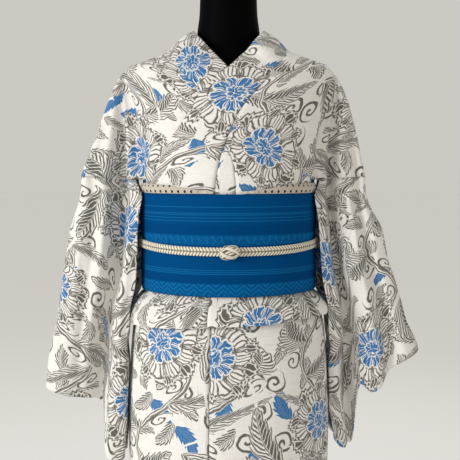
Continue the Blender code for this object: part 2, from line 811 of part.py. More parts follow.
def cord_route():
    """The cord round the obi and through the bow, from the middle of the front."""
    half = HAND_LENGTH / 2
    points = []
    for angle in spaced(0, 112, 14):
        p = body_point(angle, OBI_BOTTOM, OBI_OUT - OBI_GROOVE + CORD_DEPTH / 2 + 3 * GAP)
        points.append((p.x, p.y))
    clear = CORD_DEPTH / 2 + 3 * GAP
    back = HAND_Y + HAND_THICK
    points += [(0.1500, 0.080), (0.1590, 0.110), (half + clear, 0.140), (half + clear, back - 0.004)]
    points += [(half + 0.75 * clear, back + 0.75 * clear), (half - 0.006, back + clear)]
    points += [(half - 0.06, back + clear), (0.03, back + clear)]
    return points + [(-x, y) for x, y in points[:0:-1]]


def make_cord():
    around = cord_route()
    rings = []
    count = len(around)
    for i, (x, y) in enumerate(around):
        after = around[(i + 1) % count]
        before = around[i - 1]
        ahead = Vector((after[0] - before[0], after[1] - before[1], 0)).normalized()
        side = Vector((ahead.y, -ahead.x, 0)) * CORD_DEPTH / 2
        up = Vector((0, 0, CORD_HEIGHT / 2))
        turns = [2 * pi * (k + 0.5) / 8 for k in range(8)]
        rings.append([Vector((x, y, cord_z(y))) + side * cos(t) + up * sin(t) for t in turns][::-1])
    tube("obijime", rings, "cord", closed=True)


# Form and stand

def make_form():
    rows = []
    for z, inset in FORM_RINGS:
        rows.append([body_point(angle, z, -inset) for angle in spaced(0, 360, 28)[:-1]])
    for ring in FORM_NECK:
        turns = [radians(a) for a in spaced(0, 360, 28)[:-1]]
        rows.append([Vector((ring.width * sin(t), NECK_Y - ring.front * cos(t), ring.z)) for t in turns])
    tube("form_torso", rows, "form")


def adopt(obj, finish):
    """Put an object made from a primitive among the robe's own pieces, with its material."""
    obj.data.name = obj.name
    obj.data.materials.append(material(finish))
    obj.data.shade_smooth()
    obj.data.set_sharp_from_angle(angle=radians(40))
    for home in list(obj.users_collection):
        home.objects.unlink(obj)
    robe.objects.link(obj)


def make_stand():
    bpy.ops.mesh.primitive_cylinder_add(
        vertices=24,
        radius=POLE_RADIUS,
        depth=FORM_BOTTOM - BASE_HEIGHT - 2 * GAP,
        location=(0, 0, (FORM_BOTTOM + BASE_HEIGHT) / 2),
    )
    pole = bpy.context.object
    pole.name = "stand_pole"
    adopt(pole, "metal")
    bpy.ops.mesh.primitive_cylinder_add(
        vertices=48,
        radius=BASE_RADIUS,
        depth=BASE_HEIGHT,
        location=(0, 0, BASE_HEIGHT / 2),
    )
    base = bpy.context.object
    base.name = "stand_base"
    edge = base.modifiers.new("Edge", "BEVEL")
    edge.width = 0.003
    edge.segments = 1
    edge.limit_method = "ANGLE"
    adopt(base, "metal")


def make_knot():
    bpy.ops.mesh.primitive_uv_sphere_add(segments=16, ring_count=10, radius=0.5)
    knot = bpy.context.object
    knot.name = "obijime_knot"
    for vertex in knot.data.vertices:
        vertex.co = Vector((vertex.co.x * KNOT_WIDTH, vertex.co.y * KNOT_DEPTH, vertex.co.z * KNOT_HEIGHT))
    front = body_point(0, OBI_BOTTOM, OBI_OUT - OBI_GROOVE).y
    at_y = front - CORD_DEPTH - KNOT_DEPTH / 2 - 3 * GAP
    knot.location = (KNOT_X, at_y, cord_z(front))
    adopt(knot, "cord")


for old in list(bpy.data.objects):
    bpy.data.objects.remove(old, do_unlink=True)
robe = bpy.data.collections.new("yukata_on_form")
bpy.context.scene.collection.children.link(robe)

for name in SIDES:
    make_upper(name)
    make_upper_okumi(name)
    make_sleeve(name)
make_collar()
make_skirt()
make_waist_fold()
make_obi()
make_bow()
make_scarf()
make_cord()
make_knot()
make_form()
make_stand()
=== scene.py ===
# Cotton yukata on a dress form: fine cloth, its print, the obi and its cord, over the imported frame.
# Metres, +Z up, the front faces -Y.

import functools
import math

import bpy
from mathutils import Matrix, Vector, noise


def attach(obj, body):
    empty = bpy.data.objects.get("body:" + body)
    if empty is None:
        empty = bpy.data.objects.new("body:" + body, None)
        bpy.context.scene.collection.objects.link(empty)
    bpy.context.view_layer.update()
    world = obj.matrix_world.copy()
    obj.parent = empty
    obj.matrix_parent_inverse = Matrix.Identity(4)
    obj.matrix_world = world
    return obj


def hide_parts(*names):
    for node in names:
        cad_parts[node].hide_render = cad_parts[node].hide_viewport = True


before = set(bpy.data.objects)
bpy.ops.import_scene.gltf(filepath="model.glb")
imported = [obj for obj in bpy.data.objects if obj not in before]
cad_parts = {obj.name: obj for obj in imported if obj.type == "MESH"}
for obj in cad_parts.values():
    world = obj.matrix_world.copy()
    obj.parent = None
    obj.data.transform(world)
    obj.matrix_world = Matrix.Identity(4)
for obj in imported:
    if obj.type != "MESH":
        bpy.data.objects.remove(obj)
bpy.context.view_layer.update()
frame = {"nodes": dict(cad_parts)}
print("frame loaded")


# Small helpers

def lerp(a, b, t):
    return a + (b - a) * t


def ease(t):
    t = min(max(t, 0.0), 1.0)
    return t * t * (3 - 2 * t)


def spaced(first, last, count):
    return [lerp(first, last, i / count) for i in range(count + 1)]


def finer(stops, most):
    # the same stops with others put between them, none further apart than most
    found = [stops[0]]
    for a, b in zip(stops, stops[1:]):
        count = max(1, math.ceil(abs(b - a) / most - 1e-6))
        found += spaced(a, b, count)[1:]
    return found


def curve(points):
    # a smooth curve through the points with no overshoot, as a function of the first number
    points = sorted(points)
    xs = [p[0] for p in points]
    ys = [p[1] for p in points]
    rises = [(ys[i + 1] - ys[i]) / (xs[i + 1] - xs[i]) for i in range(len(xs) - 1)]
    slopes = [rises[0]]
    for a, b in zip(rises, rises[1:]):
        slopes.append(0.0 if a * b <= 0 else 2 * a * b / (a + b))
    slopes.append(rises[-1])

    @functools.cache
    def at(x):
        if x <= xs[0]:
            return ys[0]
        if x >= xs[-1]:
            return ys[-1]
        k = max(i for i in range(len(xs) - 1) if xs[i] <= x)
        span = xs[k + 1] - xs[k]
        t = (x - xs[k]) / span
        keep = ys[k] * (2 * t**3 - 3 * t**2 + 1) + ys[k + 1] * (3 * t**2 - 2 * t**3)
        return keep + span * (slopes[k] * (t**3 - 2 * t**2 + t) + slopes[k + 1] * (t**3 - t**2))

    return at


def columns(rows):
    return [curve([(row[0], row[i]) for row in rows]) for i in range(1, len(rows[0]))]


def smoothPath(points, count):
    found = []
    last = len(points) - 1
    for i in range(count + 1):
        at = i / count * last
        k = min(int(at), last - 1)
        t = at - k
        four = [points[max(k - 1, 0)], points[k], points[k + 1], points[min(k + 2, last)]]
        found.append(tuple(
            0.5 * (2 * q + (r - p) * t + (2 * p - 5 * q + 4 * r - s) * t**2 + (3 * q - p - 3 * r + s) * t**3)
            for p, q, r, s in zip(*four)
        ))
    return found


# Materials

class Wire:
    # a socket that takes + - * / and the reflected forms, each adding a Math node
    def __init__(self, shop, socket):
        self.shop = shop
        self.socket = socket

    def math(self, kind, *others, clamp=False):
        settings = {"operation": kind, "use_clamp": clamp}
        return self.shop.node("ShaderNodeMath", settings, dict(enumerate([self, *others])))

    def __add__(self, other):
        return self.math("ADD", other)

    def __radd__(self, other):
        return self.math("ADD", other)

    def __sub__(self, other):
        return self.math("SUBTRACT", other)

    def __rsub__(self, other):
        return self.shop.node("ShaderNodeMath", {"operation": "SUBTRACT"}, {0: other, 1: self})

    def __mul__(self, other):
        return self.math("MULTIPLY", other)

    def __rmul__(self, other):
        return self.math("MULTIPLY", other)

    def __truediv__(self, other):
        return self.math("DIVIDE", other)

    def __abs__(self):
        return self.math("ABSOLUTE")

    def __pow__(self, other):
        return self.math("POWER", other)

    def under(self, limit, blur):
        # 1 where this is under the limit, 0 where it is over, with a soft edge
        if isinstance(limit, Wire):
            return (limit - self).math("MULTIPLY_ADD", 1 / blur, 0.5, clamp=True)
        return self.math("MULTIPLY_ADD", -1 / blur, limit / blur + 0.5, clamp=True)

    def over(self, limit, blur):
        return 1 - self.under(limit, blur)

    def low(self, other):
        return self.math("MINIMUM", other)

    def high(self, other):
        return self.math("MAXIMUM", other)


class Shop:
    # one material in the making
    def __init__(self, name):
        self.material = bpy.data.materials.new(name)
        self.material.use_nodes = True
        self.tree = self.material.node_tree
        self.tree.nodes.clear()

    def node(self, kind, settings=None, inputs=None, out=0):
        made = self.tree.nodes.new(kind)
        for key, value in (settings or {}).items():
            if key == "stops":
                ramp = made.color_ramp
                for i, (place, colour) in enumerate(value):
                    stop = ramp.elements[i] if i < 2 else ramp.elements.new(place)
                    stop.position = place
                    stop.color = (*colour, 1)
            else:
                setattr(made, key, value)
        for key, value in (inputs or {}).items():
            if isinstance(value, Wire):
                self.tree.links.new(value.socket, made.inputs[key])
            else:
                made.inputs[key].default_value = value
        return Wire(self, made.outputs[out])

    def vector(self, kind, a, b=None, out=0, **more):
        inputs = {0: a}
        if b is not None:
            inputs[1] = b
        inputs.update({int(k[1:]) if k[1:].isdigit() else k: v for k, v in more.items()})
        return self.node("ShaderNodeVectorMath", {"operation": kind}, inputs, out)

    def scaled(self, a, by):
        return self.node("ShaderNodeVectorMath", {"operation": "SCALE"}, {0: a, "Scale": by})

    def parts(self, a):
        made = self.tree.nodes.new("ShaderNodeSeparateXYZ")
        self.tree.links.new(a.socket, made.inputs[0])
        return [Wire(self, out) for out in made.outputs]

    def turned(self, a, angle):
        return self.node("ShaderNodeVectorRotate", {"rotation_type": "Z_AXIS"}, {"Vector": a, "Angle": angle})

    def blend(self, share, a, b):
        return self.node("ShaderNodeMix", {"data_type": "FLOAT"}, {0: share, 2: a, 3: b})

    def mixVector(self, share, a, b):
        return self.node("ShaderNodeMix", {"data_type": "VECTOR"}, {0: share, 4: a, 5: b}, 1)

    def mixColour(self, share, a, b, kind="MIX"):
        a = a if isinstance(a, Wire) else (*a, 1)
        b = b if isinstance(b, Wire) else (*b, 1)
        settings = {"data_type": "RGBA", "blend_type": kind}
        return self.node("ShaderNodeMix", settings, {0: share, 6: a, 7: b}, 2)

    def cut(self):
        return self.node("ShaderNodeUVMap", {"uv_map": "cut"})

    def noise(self, where, scale, detail=2.0, rough=0.5, out=0):
        inputs = {"Vector": where, "Scale": scale, "Detail": detail, "Roughness": rough}
        return self.node("ShaderNodeTexNoise", {"noise_dimensions": "3D"}, inputs, out)

    def finish(self, colour, rough, height=None, strength=0.3, distance=0.001, **constants):
        # constants go straight to the shader's own sockets
        inputs = {"Base Color": colour, "Roughness": rough}
        inputs.update({key.replace("_", " "): value for key, value in constants.items()})
        if height is not None:
            bump = {"Height": height, "Strength": strength, "Distance": distance}
            inputs["Normal"] = self.node("ShaderNodeBump", None, bump)
        if not isinstance(colour, Wire):
            inputs["Base Color"] = (*colour, 1)
        shader = self.node("ShaderNodeBsdfPrincipled", None, inputs)
        output = self.tree.nodes.new("ShaderNodeOutputMaterial")
        self.tree.links.new(shader.socket, output.inputs["Surface"])
        return self.material


printLook = {
    "tile": (36.0, 52.0),  # centimetres
    "cloth": (0.84, 0.815, 0.775),
    "shade": (0.70, 0.675, 0.63),
    "grey": (0.098, 0.092, 0.080),
    "blue": (0.010, 0.140, 0.36),
    "wobble": 0.42,
    "petals": 9,
    "filler": 4.4,
    # period up the cloth, spacing across, start, swing, phase, a leaf's slot, and its lean in radians
    "vines": [(26.0, 36.0, 9.0, 5.0, 0.4, 10.4, 1.05), (17.333, 36.0, 27.0, -4.2, 2.0, 8.667, 0.85)],
    # x, y, turn and radius of each flower, in centimetres
    "flowers": [
        (9.0, 9.0, 0.3, 7.2), (27.0, 21.0, 1.1, 6.4), (8.0, 34.0, 2.0, 6.6), (26.0, 45.0, 0.7, 7.2),
        (18.5, 26.5, 1.9, 3.2),
    ],
    # x, y, turn and half length of each leaf that lies free
    "leaves": [
        (19.0, 8.0, 0.9, 5.2), (33.5, 9.5, 1.9, 5.0), (3.5, 21.5, 1.1, 5.2), (16.5, 41.0, -0.9, 5.0),
        (34.5, 33.0, 1.9, 5.0),
    ],
}


def nearestMotif(shop, where, places, tile):
    # each motif's own coordinates, turned and sized, and the nearest one's are kept
    best = None
    for x, y, turn, size in places:
        moved = shop.vector("SUBTRACT", where, (x, y, 0))
        half = (tile[0] / 2, tile[1] / 2, 1)
        moved = shop.node(
            "ShaderNodeVectorMath", {"operation": "WRAP"}, {0: moved, 1: half, 2: tuple(-h for h in half)}
        )
        local = shop.scaled(shop.turned(moved, -turn), 1 / size)
        far = shop.vector("LENGTH", local, out=1)
        if best is None:
            best, bestFar = local, far
            continue
        closer = far.math("LESS_THAN", bestFar)
        best = shop.mixVector(closer, best, local)
        bestFar = bestFar.low(far)
    return best, bestFar


def flowerInk(shop, local, far):
    # grey ink, blue ink and the flower's whole area, for a flower of radius 1
    x, y, _ = shop.parts(local)
    # the petals differ in width, as drawn by hand
    around = y.math("ARCTAN2", x) + (shop.noise(local, 1.6, 1.0) - 0.5) * 0.8
    count = printLook["petals"]
    jag = abs((around * (count * 3.5)).math("SINE")) * 0.05
    # the ring of dark petals behind
    behind = abs((around * (count / 2)).math("SINE"))
    farEdge = behind ** 0.6 * 0.26 + 0.73 - jag
    whole = far.under(farEdge + 0.035, 0.02)
    veins = abs((around * (count * 3)).math("SINE"))
    dark = veins.over(0.28, 0.3) * far.under(farEdge - 0.065, 0.03) * far.over(0.45, 0.03)
    ink = dark.high(abs(far - farEdge).under(0.022, 0.02))
    # the ring of pale petals in front, hatched from their feet
    front = abs((around * (count / 2)).math("COSINE"))
    nearEdge = front ** 0.5 * 0.30 + 0.52 - jag * 0.8
    inFront = far.under(nearEdge, 0.02)
    strokes = abs((around * (count * 2.5)).math("SINE"))
    hatch = strokes.under(0.50, 0.3) * far.under(front * 0.17 + 0.54, 0.05)
    tips = strokes.under(0.45, 0.3) * far.over(nearEdge - 0.11, 0.04)
    paleInk = hatch.high(tips).high(front.under(0.16, 0.12)).high(abs(far - 0.47).under(0.02, 0.02))
    rim = abs(far - nearEdge).under(0.022, 0.02)
    ink = shop.blend(inFront, ink * far.over(nearEdge + 0.05, 0.02), paleInk).high(rim)
    # the blue heart: ragged petals with fine pale veins round a curled middle
    sway = around + (shop.noise(local, 4.0, 1.0) - 0.5) * 0.5
    lobe = abs((sway * 4.5).math("COSINE"))
    heart = lobe ** 0.6 * 0.14 + 0.33 - abs((sway * 18).math("SINE")) * 0.035
    inHeart = far.under(heart, 0.02)
    ribs = lobe.under(0.17, 0.14) * far.over(0.20, 0.04)
    veins = abs((sway * 13.5).math("SINE")).under(0.27, 0.24) * far.over(heart - 0.15, 0.06)
    feet = abs((sway * 9).math("SINE")).under(0.26, 0.2) * far.under(0.28, 0.04) * far.over(0.16, 0.03)
    ring = abs(far - (lobe * 0.05 + 0.15)).under(0.014, 0.02)
    curls = abs(shop.noise(local, 8.0, 1.0) - 0.5).under(0.026, 0.03) * far.under(0.16, 0.03)
    blue = inHeart * (1 - ribs.high(veins).high(feet).high(curls).high(ring))
    blue = blue * (abs((sway * 27).math("SINE")) * 0.12 + 0.90)
    return ink * far.over(heart + 0.04, 0.02), blue, whole


def leafInk(shop, local, bold=1.0):
    # a leaf from x -1 to 1, arched: one side dark with pale veins, the other hatched
    x, y, _ = shop.parts(local)
    across = y - (1 - x * x) * 0.24 - x * x * x * 0.10
    depth = abs(across)
    lobes = ((x - depth * 0.8) * 2.6).math("FRACT")
    half = ((1 - x * x).high(0.0001) ** 0.6) * (0.37 - x * 0.12) * (lobes * 0.46 + 0.66)
    whole = depth.under(half + 0.05 * bold, 0.02)
    outline = abs(depth - half).under(0.026 * bold, 0.02) * abs(x).under(1.0, 0.03)
    inside = depth.under(half - 0.05 * bold, 0.02)
    rib = depth.over(0.026 * bold, 0.02)
    slant = abs((x * 5.2 - depth * 8).math("FRACT") - 0.5)
    dark = slant.over(0.10, 0.08) * inside * rib
    hatch = slant.over(0.26, 0.10) * inside * rib
    stalk = depth.under(0.012 * bold, 0.02) * inside
    upper = across.over(0.0, 0.02)
    return outline.high(shop.blend(upper, dark, hatch)).high(stalk), whole


def curlInk(shop, local, far, bold=1.0):
    x, y, _ = shop.parts(local)
    around = y.math("ARCTAN2", x) / (2 * math.pi)
    wind = (far * 1.6 - around).math("FRACT")
    return abs(wind - 0.5).under(0.15 * bold, 0.08) * far.under(0.95, 0.05)


def vineInk(shop, along, across, look):
    # a waving double line with a leaf and a curl at each side by turns
    length, every, start, swing, phase, slot, lean = look
    turn = along * (2 * math.pi / length) + phase
    off = (across - turn.math("SINE") * swing - start).math("WRAP", every / 2, -every / 2)
    slope = turn.math("COSINE") * (swing * 2 * math.pi / length)
    near = abs(off) / (slope * slope + 1) ** 0.5
    stem = abs(near - 0.26).under(0.085, 0.04).high(near.under(0.26, 0.04) * off.over(0.0, 0.1) * 0.9)
    steps = along / slot + off.over(0.0, 0.01) * 0.5
    place = (steps.math("FRACT") - 0.5) * slot
    spot = shop.node("ShaderNodeCombineXYZ", None, {0: place, 1: abs(off)})
    size = 3.9
    middle = (size * math.cos(lean) - 0.6, size * math.sin(lean) + 0.2, 0)
    leaf = shop.scaled(shop.turned(shop.vector("SUBTRACT", spot, middle), -lean), 1 / size)
    ink, whole = leafInk(shop, leaf)
    curl = shop.scaled(shop.vector("SUBTRACT", spot, (-2.9, 1.75, 0)), 1 / 1.5)
    far = shop.vector("LENGTH", curl, out=1)
    ink = ink.high(curlInk(shop, curl, far) * (1 - whole))
    area = whole.high(far.under(1.0, 0.03)).high(near.under(0.45, 0.04))
    return ink.high(stem * (1 - whole)), area


def fillerInk(shop, where):
    # small leaves, curls and blue buds behind all, each turned its own way
    cells = {"feature": "F1", "voronoi_dimensions": "2D"}
    inputs = {"Vector": where, "Scale": 1 / printLook["filler"], "Randomness": 0.55}
    tone = shop.node("ShaderNodeTexVoronoi", cells, inputs, 1)
    middle = shop.node("ShaderNodeTexVoronoi", cells, inputs, 2)
    red, green, third = shop.parts(tone)
    local = shop.turned(shop.vector("SUBTRACT", where, middle), red * 6.28)
    leaf, whole = leafInk(shop, shop.scaled(local, 1 / 2.6), 2.0)
    curl = shop.scaled(local, 1 / 1.9)
    far = shop.vector("LENGTH", curl, out=1)
    ink = shop.blend(green.over(0.42, 0.01), curlInk(shop, curl, far, 1.2), leaf)
    bud = third.over(0.84, 0.01)
    return ink * (1 - bud), leaf.high(whole * 0.9) * bud


def makeCotton():
    look = printLook
    tile = look["tile"]
    shop = Shop("printedCotton")
    plain = shop.scaled(shop.cut(), 100)
    wander = shop.vector("SUBTRACT", shop.noise(plain, 0.45, 2.0, out=1), (0.5, 0.5, 0.5))
    where = shop.vector("ADD", plain, shop.scaled(wander, look["wobble"] * 2))
    u, v, _ = shop.parts(where)
    grey, blue = fillerInk(shop, where)
    for vine in look["vines"]:
        ink, area = vineInk(shop, v, u, vine)
        grey = shop.blend(area, grey, ink)
        blue = blue * (1 - area)
    local, far = nearestMotif(shop, where, look["leaves"], tile)
    ink, whole = leafInk(shop, local)
    grey = shop.blend(whole, grey, ink)
    blue = blue * (1 - whole)
    local, far = nearestMotif(shop, where, look["flowers"], tile)
    ink, hearts, whole = flowerInk(shop, local, far)
    grey = shop.blend(whole, grey, ink)
    blue = (blue * (1 - whole)).high(hearts)
    worn = shop.noise(plain, 3.0, 3.0)
    grey = grey * (worn * 0.20 + 0.86)
    blue = blue * (worn * 0.16 + 0.90)
    # slubs: a thread here and there is thicker, both ways of the weave
    warp = shop.noise(shop.vector("MULTIPLY", plain, (6.0, 0.25, 1)), 1.0, 2.0)
    weft = shop.noise(shop.vector("MULTIPLY", plain, (0.25, 6.0, 1)), 1.0, 2.0)
    slub = warp.over(0.58, 0.14).high(weft.over(0.58, 0.14))
    threads = (shop.parts(plain)[0] * 62).math("SINE") * (shop.parts(plain)[1] * 62).math("SINE")
    colour = shop.mixColour(slub * 0.62, look["cloth"], look["shade"])
    colour = shop.mixColour(shop.noise(plain, 0.08, 2.0) * 0.30, colour, look["shade"])
    colour = shop.mixColour(grey, colour, look["grey"])
    colour = shop.mixColour(blue, colour, look["blue"])
    height = slub * 0.6 + threads * 0.25
    sheen = {"Sheen Weight": 0.12, "Sheen Roughness": 0.5, "Specular IOR Level": 0.22}
    return shop.finish(colour, worn * 0.08 + 0.84, height, 0.35, 0.0004, **sheen)


obiLook = {
    "deep": (0.0, 0.049, 0.170),
    "mid": (0.0, 0.059, 0.195),
    "bright": (0.001, 0.086, 0.255),
    "low": 0.957,
    "tall": 0.151,
}


def makeObiCloth():
    look = obiLook
    shop = Shop("wovenObi")
    u, v, _ = shop.parts(shop.cut())
    up = (v - look["low"]) / look["tall"]
    deep, mid, bright = look["deep"], look["mid"], look["bright"]
    bands = [
        (0.0, bright), (0.125, bright), (0.135, deep), (0.205, deep), (0.215, mid), (0.32, mid),
        (0.33, mid), (0.42, mid), (0.43, mid), (0.52, bright), (0.60, bright), (0.615, deep), (0.70, deep),
        (0.72, mid), (1.0, mid),
    ]
    colour = shop.node("ShaderNodeValToRGB", {"stops": bands}, {"Fac": up})
    lines = None
    for place in (0.225, 0.243, 0.262, 0.745, 0.775, 0.805, 0.82, 0.88):
        line = abs(up - place).under(0.0040, 0.003)
        lines = line if lines is None else lines.high(line)
    # a small zigzag and lozenge figure, woven into the two bright bands
    run = u * (1 / 0.0225)
    zig = run.math("PINGPONG", 0.5)
    lowBand = up.under(0.125, 0.01)
    highBand = up.over(0.515, 0.01) * up.under(0.60, 0.01)
    level = up * 6.7
    chevron = abs((level * 3.2 + zig * 2.6).math("FRACT") - 0.5).under(0.14, 0.12)
    lozenge = abs(zig - 0.25 + ((level * 1.7).math("FRACT") - 0.5) * 0.3).under(0.05, 0.05)
    figure = chevron * lowBand + (chevron * 0.6).high(lozenge) * highBand * 0.8
    colour = shop.mixColour((figure * 0.6).high(lines * 0.45), colour, (0.014, 0.190, 0.42))
    ribs = (v * 9000).math("SINE")
    fine = shop.noise(shop.vector("MULTIPLY", shop.cut(), (90, 2600, 1)), 1.0, 2.0)
    colour = shop.mixColour(fine * 0.25, colour, deep)
    height = ribs * 0.3 + fine * 0.8 + figure * 0.7 + lines * 0.5
    look = {"Specular IOR Level": 0.015}
    return shop.finish(colour, fine * 0.12 + 0.56, height, 0.30, 0.0003, **look)


def makeScarfCloth():
    shop = Shop("scarfLace")
    u, v, _ = shop.parts(shop.cut())
    x = (u / 0.0112).math("FRACT") - 0.5
    second = ((u / 0.0112) + 0.5).math("FRACT") - 0.5
    holeLow = ((x * 0.0112) ** 2 + (v - 0.0034) ** 2) ** 0.5
    holeHigh = ((second * 0.0112) ** 2 + (v - 0.0115) ** 2) ** 0.5
    side = abs(u).over(0.052, 0.02)
    shadedHole = holeLow.under(0.0022, 0.0005).high(holeHigh.under(0.0018, 0.0005)) * side
    around = holeLow.under(0.0031, 0.0006).high(holeHigh.under(0.0028, 0.0006)) * (1 - shadedHole)
    crepe = shop.noise(shop.scaled(shop.cut(), 900), 1.0, 3.0)
    net = shop.noise(shop.vector("MULTIPLY", shop.cut(), (260, 900, 1)), 1.0, 2.0)
    colour = shop.mixColour(crepe * 0.5, (0.58, 0.525, 0.445), (0.34, 0.29, 0.23))
    colour = shop.mixColour(around * 0.5, colour, (0.76, 0.71, 0.62))
    colour = shop.mixColour(net.over(0.58, 0.1) * 0.35, colour, (0.34, 0.28, 0.22))
    # painted shade: the lace's holes are near-black, for the shade seen through them
    colour = shop.mixColour(shadedHole, colour, (0.012, 0.012, 0.014))
    sheen = {"Sheen Weight": 0.2, "Specular IOR Level": 0.2}
    return shop.finish(colour, 0.85, crepe + around - shadedHole * 2, 0.5, 0.0006, **sheen)


def makeCordSilk():
    shop = Shop("ivoryCord")
    here = shop.node("ShaderNodeTexCoord", None, None, 3)
    fine = shop.noise(shop.scaled(here, 1400), 1.0, 2.0)
    broad = shop.noise(shop.scaled(here, 60), 1.0, 2.0)
    # the first number of the cut is 0 in the valleys between strands and 1 on their backs; the valleys get painted
    # shade
    valleyShade = shop.parts(shop.cut())[0].under(0.56, 0.5)
    colour = shop.mixColour(fine * 0.30, (0.78, 0.75, 0.62), (0.52, 0.47, 0.35))
    colour = shop.mixColour(broad * 0.35, colour, (0.84, 0.82, 0.72))
    # painted shade: a dark brown in the valleys between strands
    colour = shop.mixColour(valleyShade * 0.92, colour, (0.11, 0.085, 0.045))
    sheen = {"Sheen Weight": 0.1, "Specular IOR Level": 0.25}
    return shop.finish(colour, fine * 0.15 + 0.55, fine, 0.4, 0.0003, **sheen)


def makeFormSkin():
    shop = Shop("blackForm")
    here = shop.node("ShaderNodeTexCoord", None, None, 3)
    fine = shop.noise(shop.scaled(here, 700), 1.0, 3.0)
    broad = shop.noise(shop.scaled(here, 9), 1.0, 2.0)
    colour = shop.mixColour(broad * 0.6, (0.0006, 0.0007, 0.0007), (0.0020, 0.0021, 0.0021))
    return shop.finish(colour, broad * 0.12 + 0.52, fine, 0.12, 0.0003, **{"Specular IOR Level": 0.02})


def makeStandPaint():
    shop = Shop("blackPaint")
    here = shop.node("ShaderNodeTexCoord", None, None, 3)
    fine = shop.noise(shop.scaled(here, 900), 1.0, 2.0)
    scuffs = shop.noise(shop.scaled(here, 45), 1.0, 4.0).over(0.62, 0.12)
    colour = shop.mixColour(scuffs * 0.5, (0.018, 0.018, 0.019), (0.06, 0.06, 0.06))
    return shop.finish(colour, scuffs * 0.15 + 0.38, fine, 0.25, 0.0002, Metallic=0.0, **{"Coat Weight": 0.15})


def makeFloorPaint():
    shop = Shop("paleFloor")
    here = shop.node("ShaderNodeTexCoord", None, None, 3)
    broad = shop.noise(shop.scaled(here, 1.2), 1.0, 4.0)
    colour = shop.mixColour(broad * 0.25, (0.995, 0.99, 0.985), (0.96, 0.955, 0.945))
    return shop.finish(colour, 0.85, broad, 0.1, 0.002, **{"Specular IOR Level": 0.05})


cotton = makeCotton()
obiCloth = makeObiCloth()
scarfCloth = makeScarfCloth()
cordSilk = makeCordSilk()
formSkin = makeFormSkin()
standPaint = makeStandPaint()
print("materials made")


# The body's line and the seams, the same as the solids follow

layers = {
    "rightCollar": 0.0015,
    "leftFront": 0.0042,
    "leftFrontLow": 0.0028,
    "leftCollar": 0.0052,
    "obi": 0.0096,
    "groove": 0.0030,
    "skirtOver": 0.0026,
    "foldClear": 0.0009,
    "gap": 0.0003,
}
bodyRows = [
    # height, half width, depth in front, depth behind
    (0.085, 0.1500, 0.1160, 0.1120), (0.400, 0.1580, 0.1220, 0.1180), (0.680, 0.1615, 0.1250, 0.1210),
    (0.750, 0.1625, 0.1250, 0.1210), (0.830, 0.1590, 0.1235, 0.1190), (0.870, 0.1560, 0.1215, 0.1170),
    (0.900, 0.1530, 0.1190, 0.1150), (0.915, 0.1490, 0.1165, 0.1130), (0.930, 0.1440, 0.1130, 0.1090),
    (0.945, 0.1375, 0.1085, 0.1055), (0.957, 0.1300, 0.1030, 0.1030), (1.108, 0.1300, 0.1030, 0.1030),
    (1.150, 0.1340, 0.1045, 0.1050), (1.200, 0.1430, 0.1030, 0.1050), (1.250, 0.1550, 0.0950, 0.1010),
    (1.280, 0.1635, 0.0840, 0.0945), (1.292, 0.1660, 0.0770, 0.0895), (1.304, 0.1590, 0.0700, 0.0835),
    (1.3134, 0.1340, 0.0620, 0.0760), (1.3246, 0.1030, 0.0520, 0.0650), (1.336, 0.0860, 0.0430, 0.0550),
    (1.360, 0.0560, 0.0260, 0.0360),
]
bodyWidth, bodyFront, bodyBack = columns(bodyRows)
frontNeck = curve([
    (0.9750, -0.0260), (1.0700, -0.0230), (1.1110, -0.0200), (1.1430, -0.0155), (1.1620, -0.0110),
    (1.1800, -0.0050), (1.2160, 0.0096), (1.2370, 0.0220), (1.2580, 0.0390), (1.2840, 0.0640),
    (1.3000, 0.0790), (1.3140, 0.0880), (1.3300, 0.0920),
])
backNeck = curve([(1.3000, 0.0), (1.3060, 0.0300), (1.3140, 0.0580), (1.3220, 0.0790), (1.3300, 0.0920)])
okumiTop = 1.181
okumiSeam = curve([(0.975, -0.0040), (1.108, 0.0120), (1.154, 0.0068), (1.180, -0.0040), (okumiTop, -0.0048)])
wingAngle = 78
slitBottom = 1.092
sleeveSeam = 1.128
seamRise = 0.006


def bodyPoint(angle, z, out=0.0):
    turn = math.radians(angle)
    width = bodyWidth(z) + out
    depth = (bodyFront(z) if math.cos(turn) > 0 else bodyBack(z)) + out
    return Vector((width * math.sin(turn), -depth * math.cos(turn), z))


def angleAt(x, z, out=0.0):
    return math.degrees(math.asin(max(-1.0, min(1.0, x / (bodyWidth(z) + out)))))


# Cloth

def bentRows(rows, creases):
    # each crease is a line seen from the front or the back: x, z, x, z, width, depth; depth under 0 is a trough
    made = []
    for j, row in enumerate(rows):
        up = rows[min(j + 1, len(rows) - 1)]
        down = rows[max(j - 1, 0)]
        moved = []
        for i, p in enumerate(row):
            along = row[min(i + 1, len(row) - 1)] - row[max(i - 1, 0)]
            normal = along.cross(up[i] - down[i])
            outward = Vector((p.x * 0.3, p.y, 0)) if abs(p.x) < 0.13 else Vector((0, p.y + 1e-4, 0))
            if normal.dot(outward) < 0:
                normal = -normal
            normal = normal.normalized() if normal.length > 1e-12 else Vector((0, -1, 0))
            push = 0.0
            for side, x0, z0, x1, z1, width, depth in creases:
                if (side == "front") != (p.y < 0):
                    continue
                line = Vector((x1 - x0, z1 - z0))
                at = Vector((p.x - x0, p.z - z0)).dot(line) / line.length_squared
                ends = ease((at + 0.12) / 0.3) * ease((1.12 - at) / 0.3)
                away = (Vector((p.x - x0, p.z - z0)) - line * at).length
                push += depth * ends * math.exp(-((away / width) ** 2))
            moved.append(p + normal * push)
        made.append(moved)
    return made


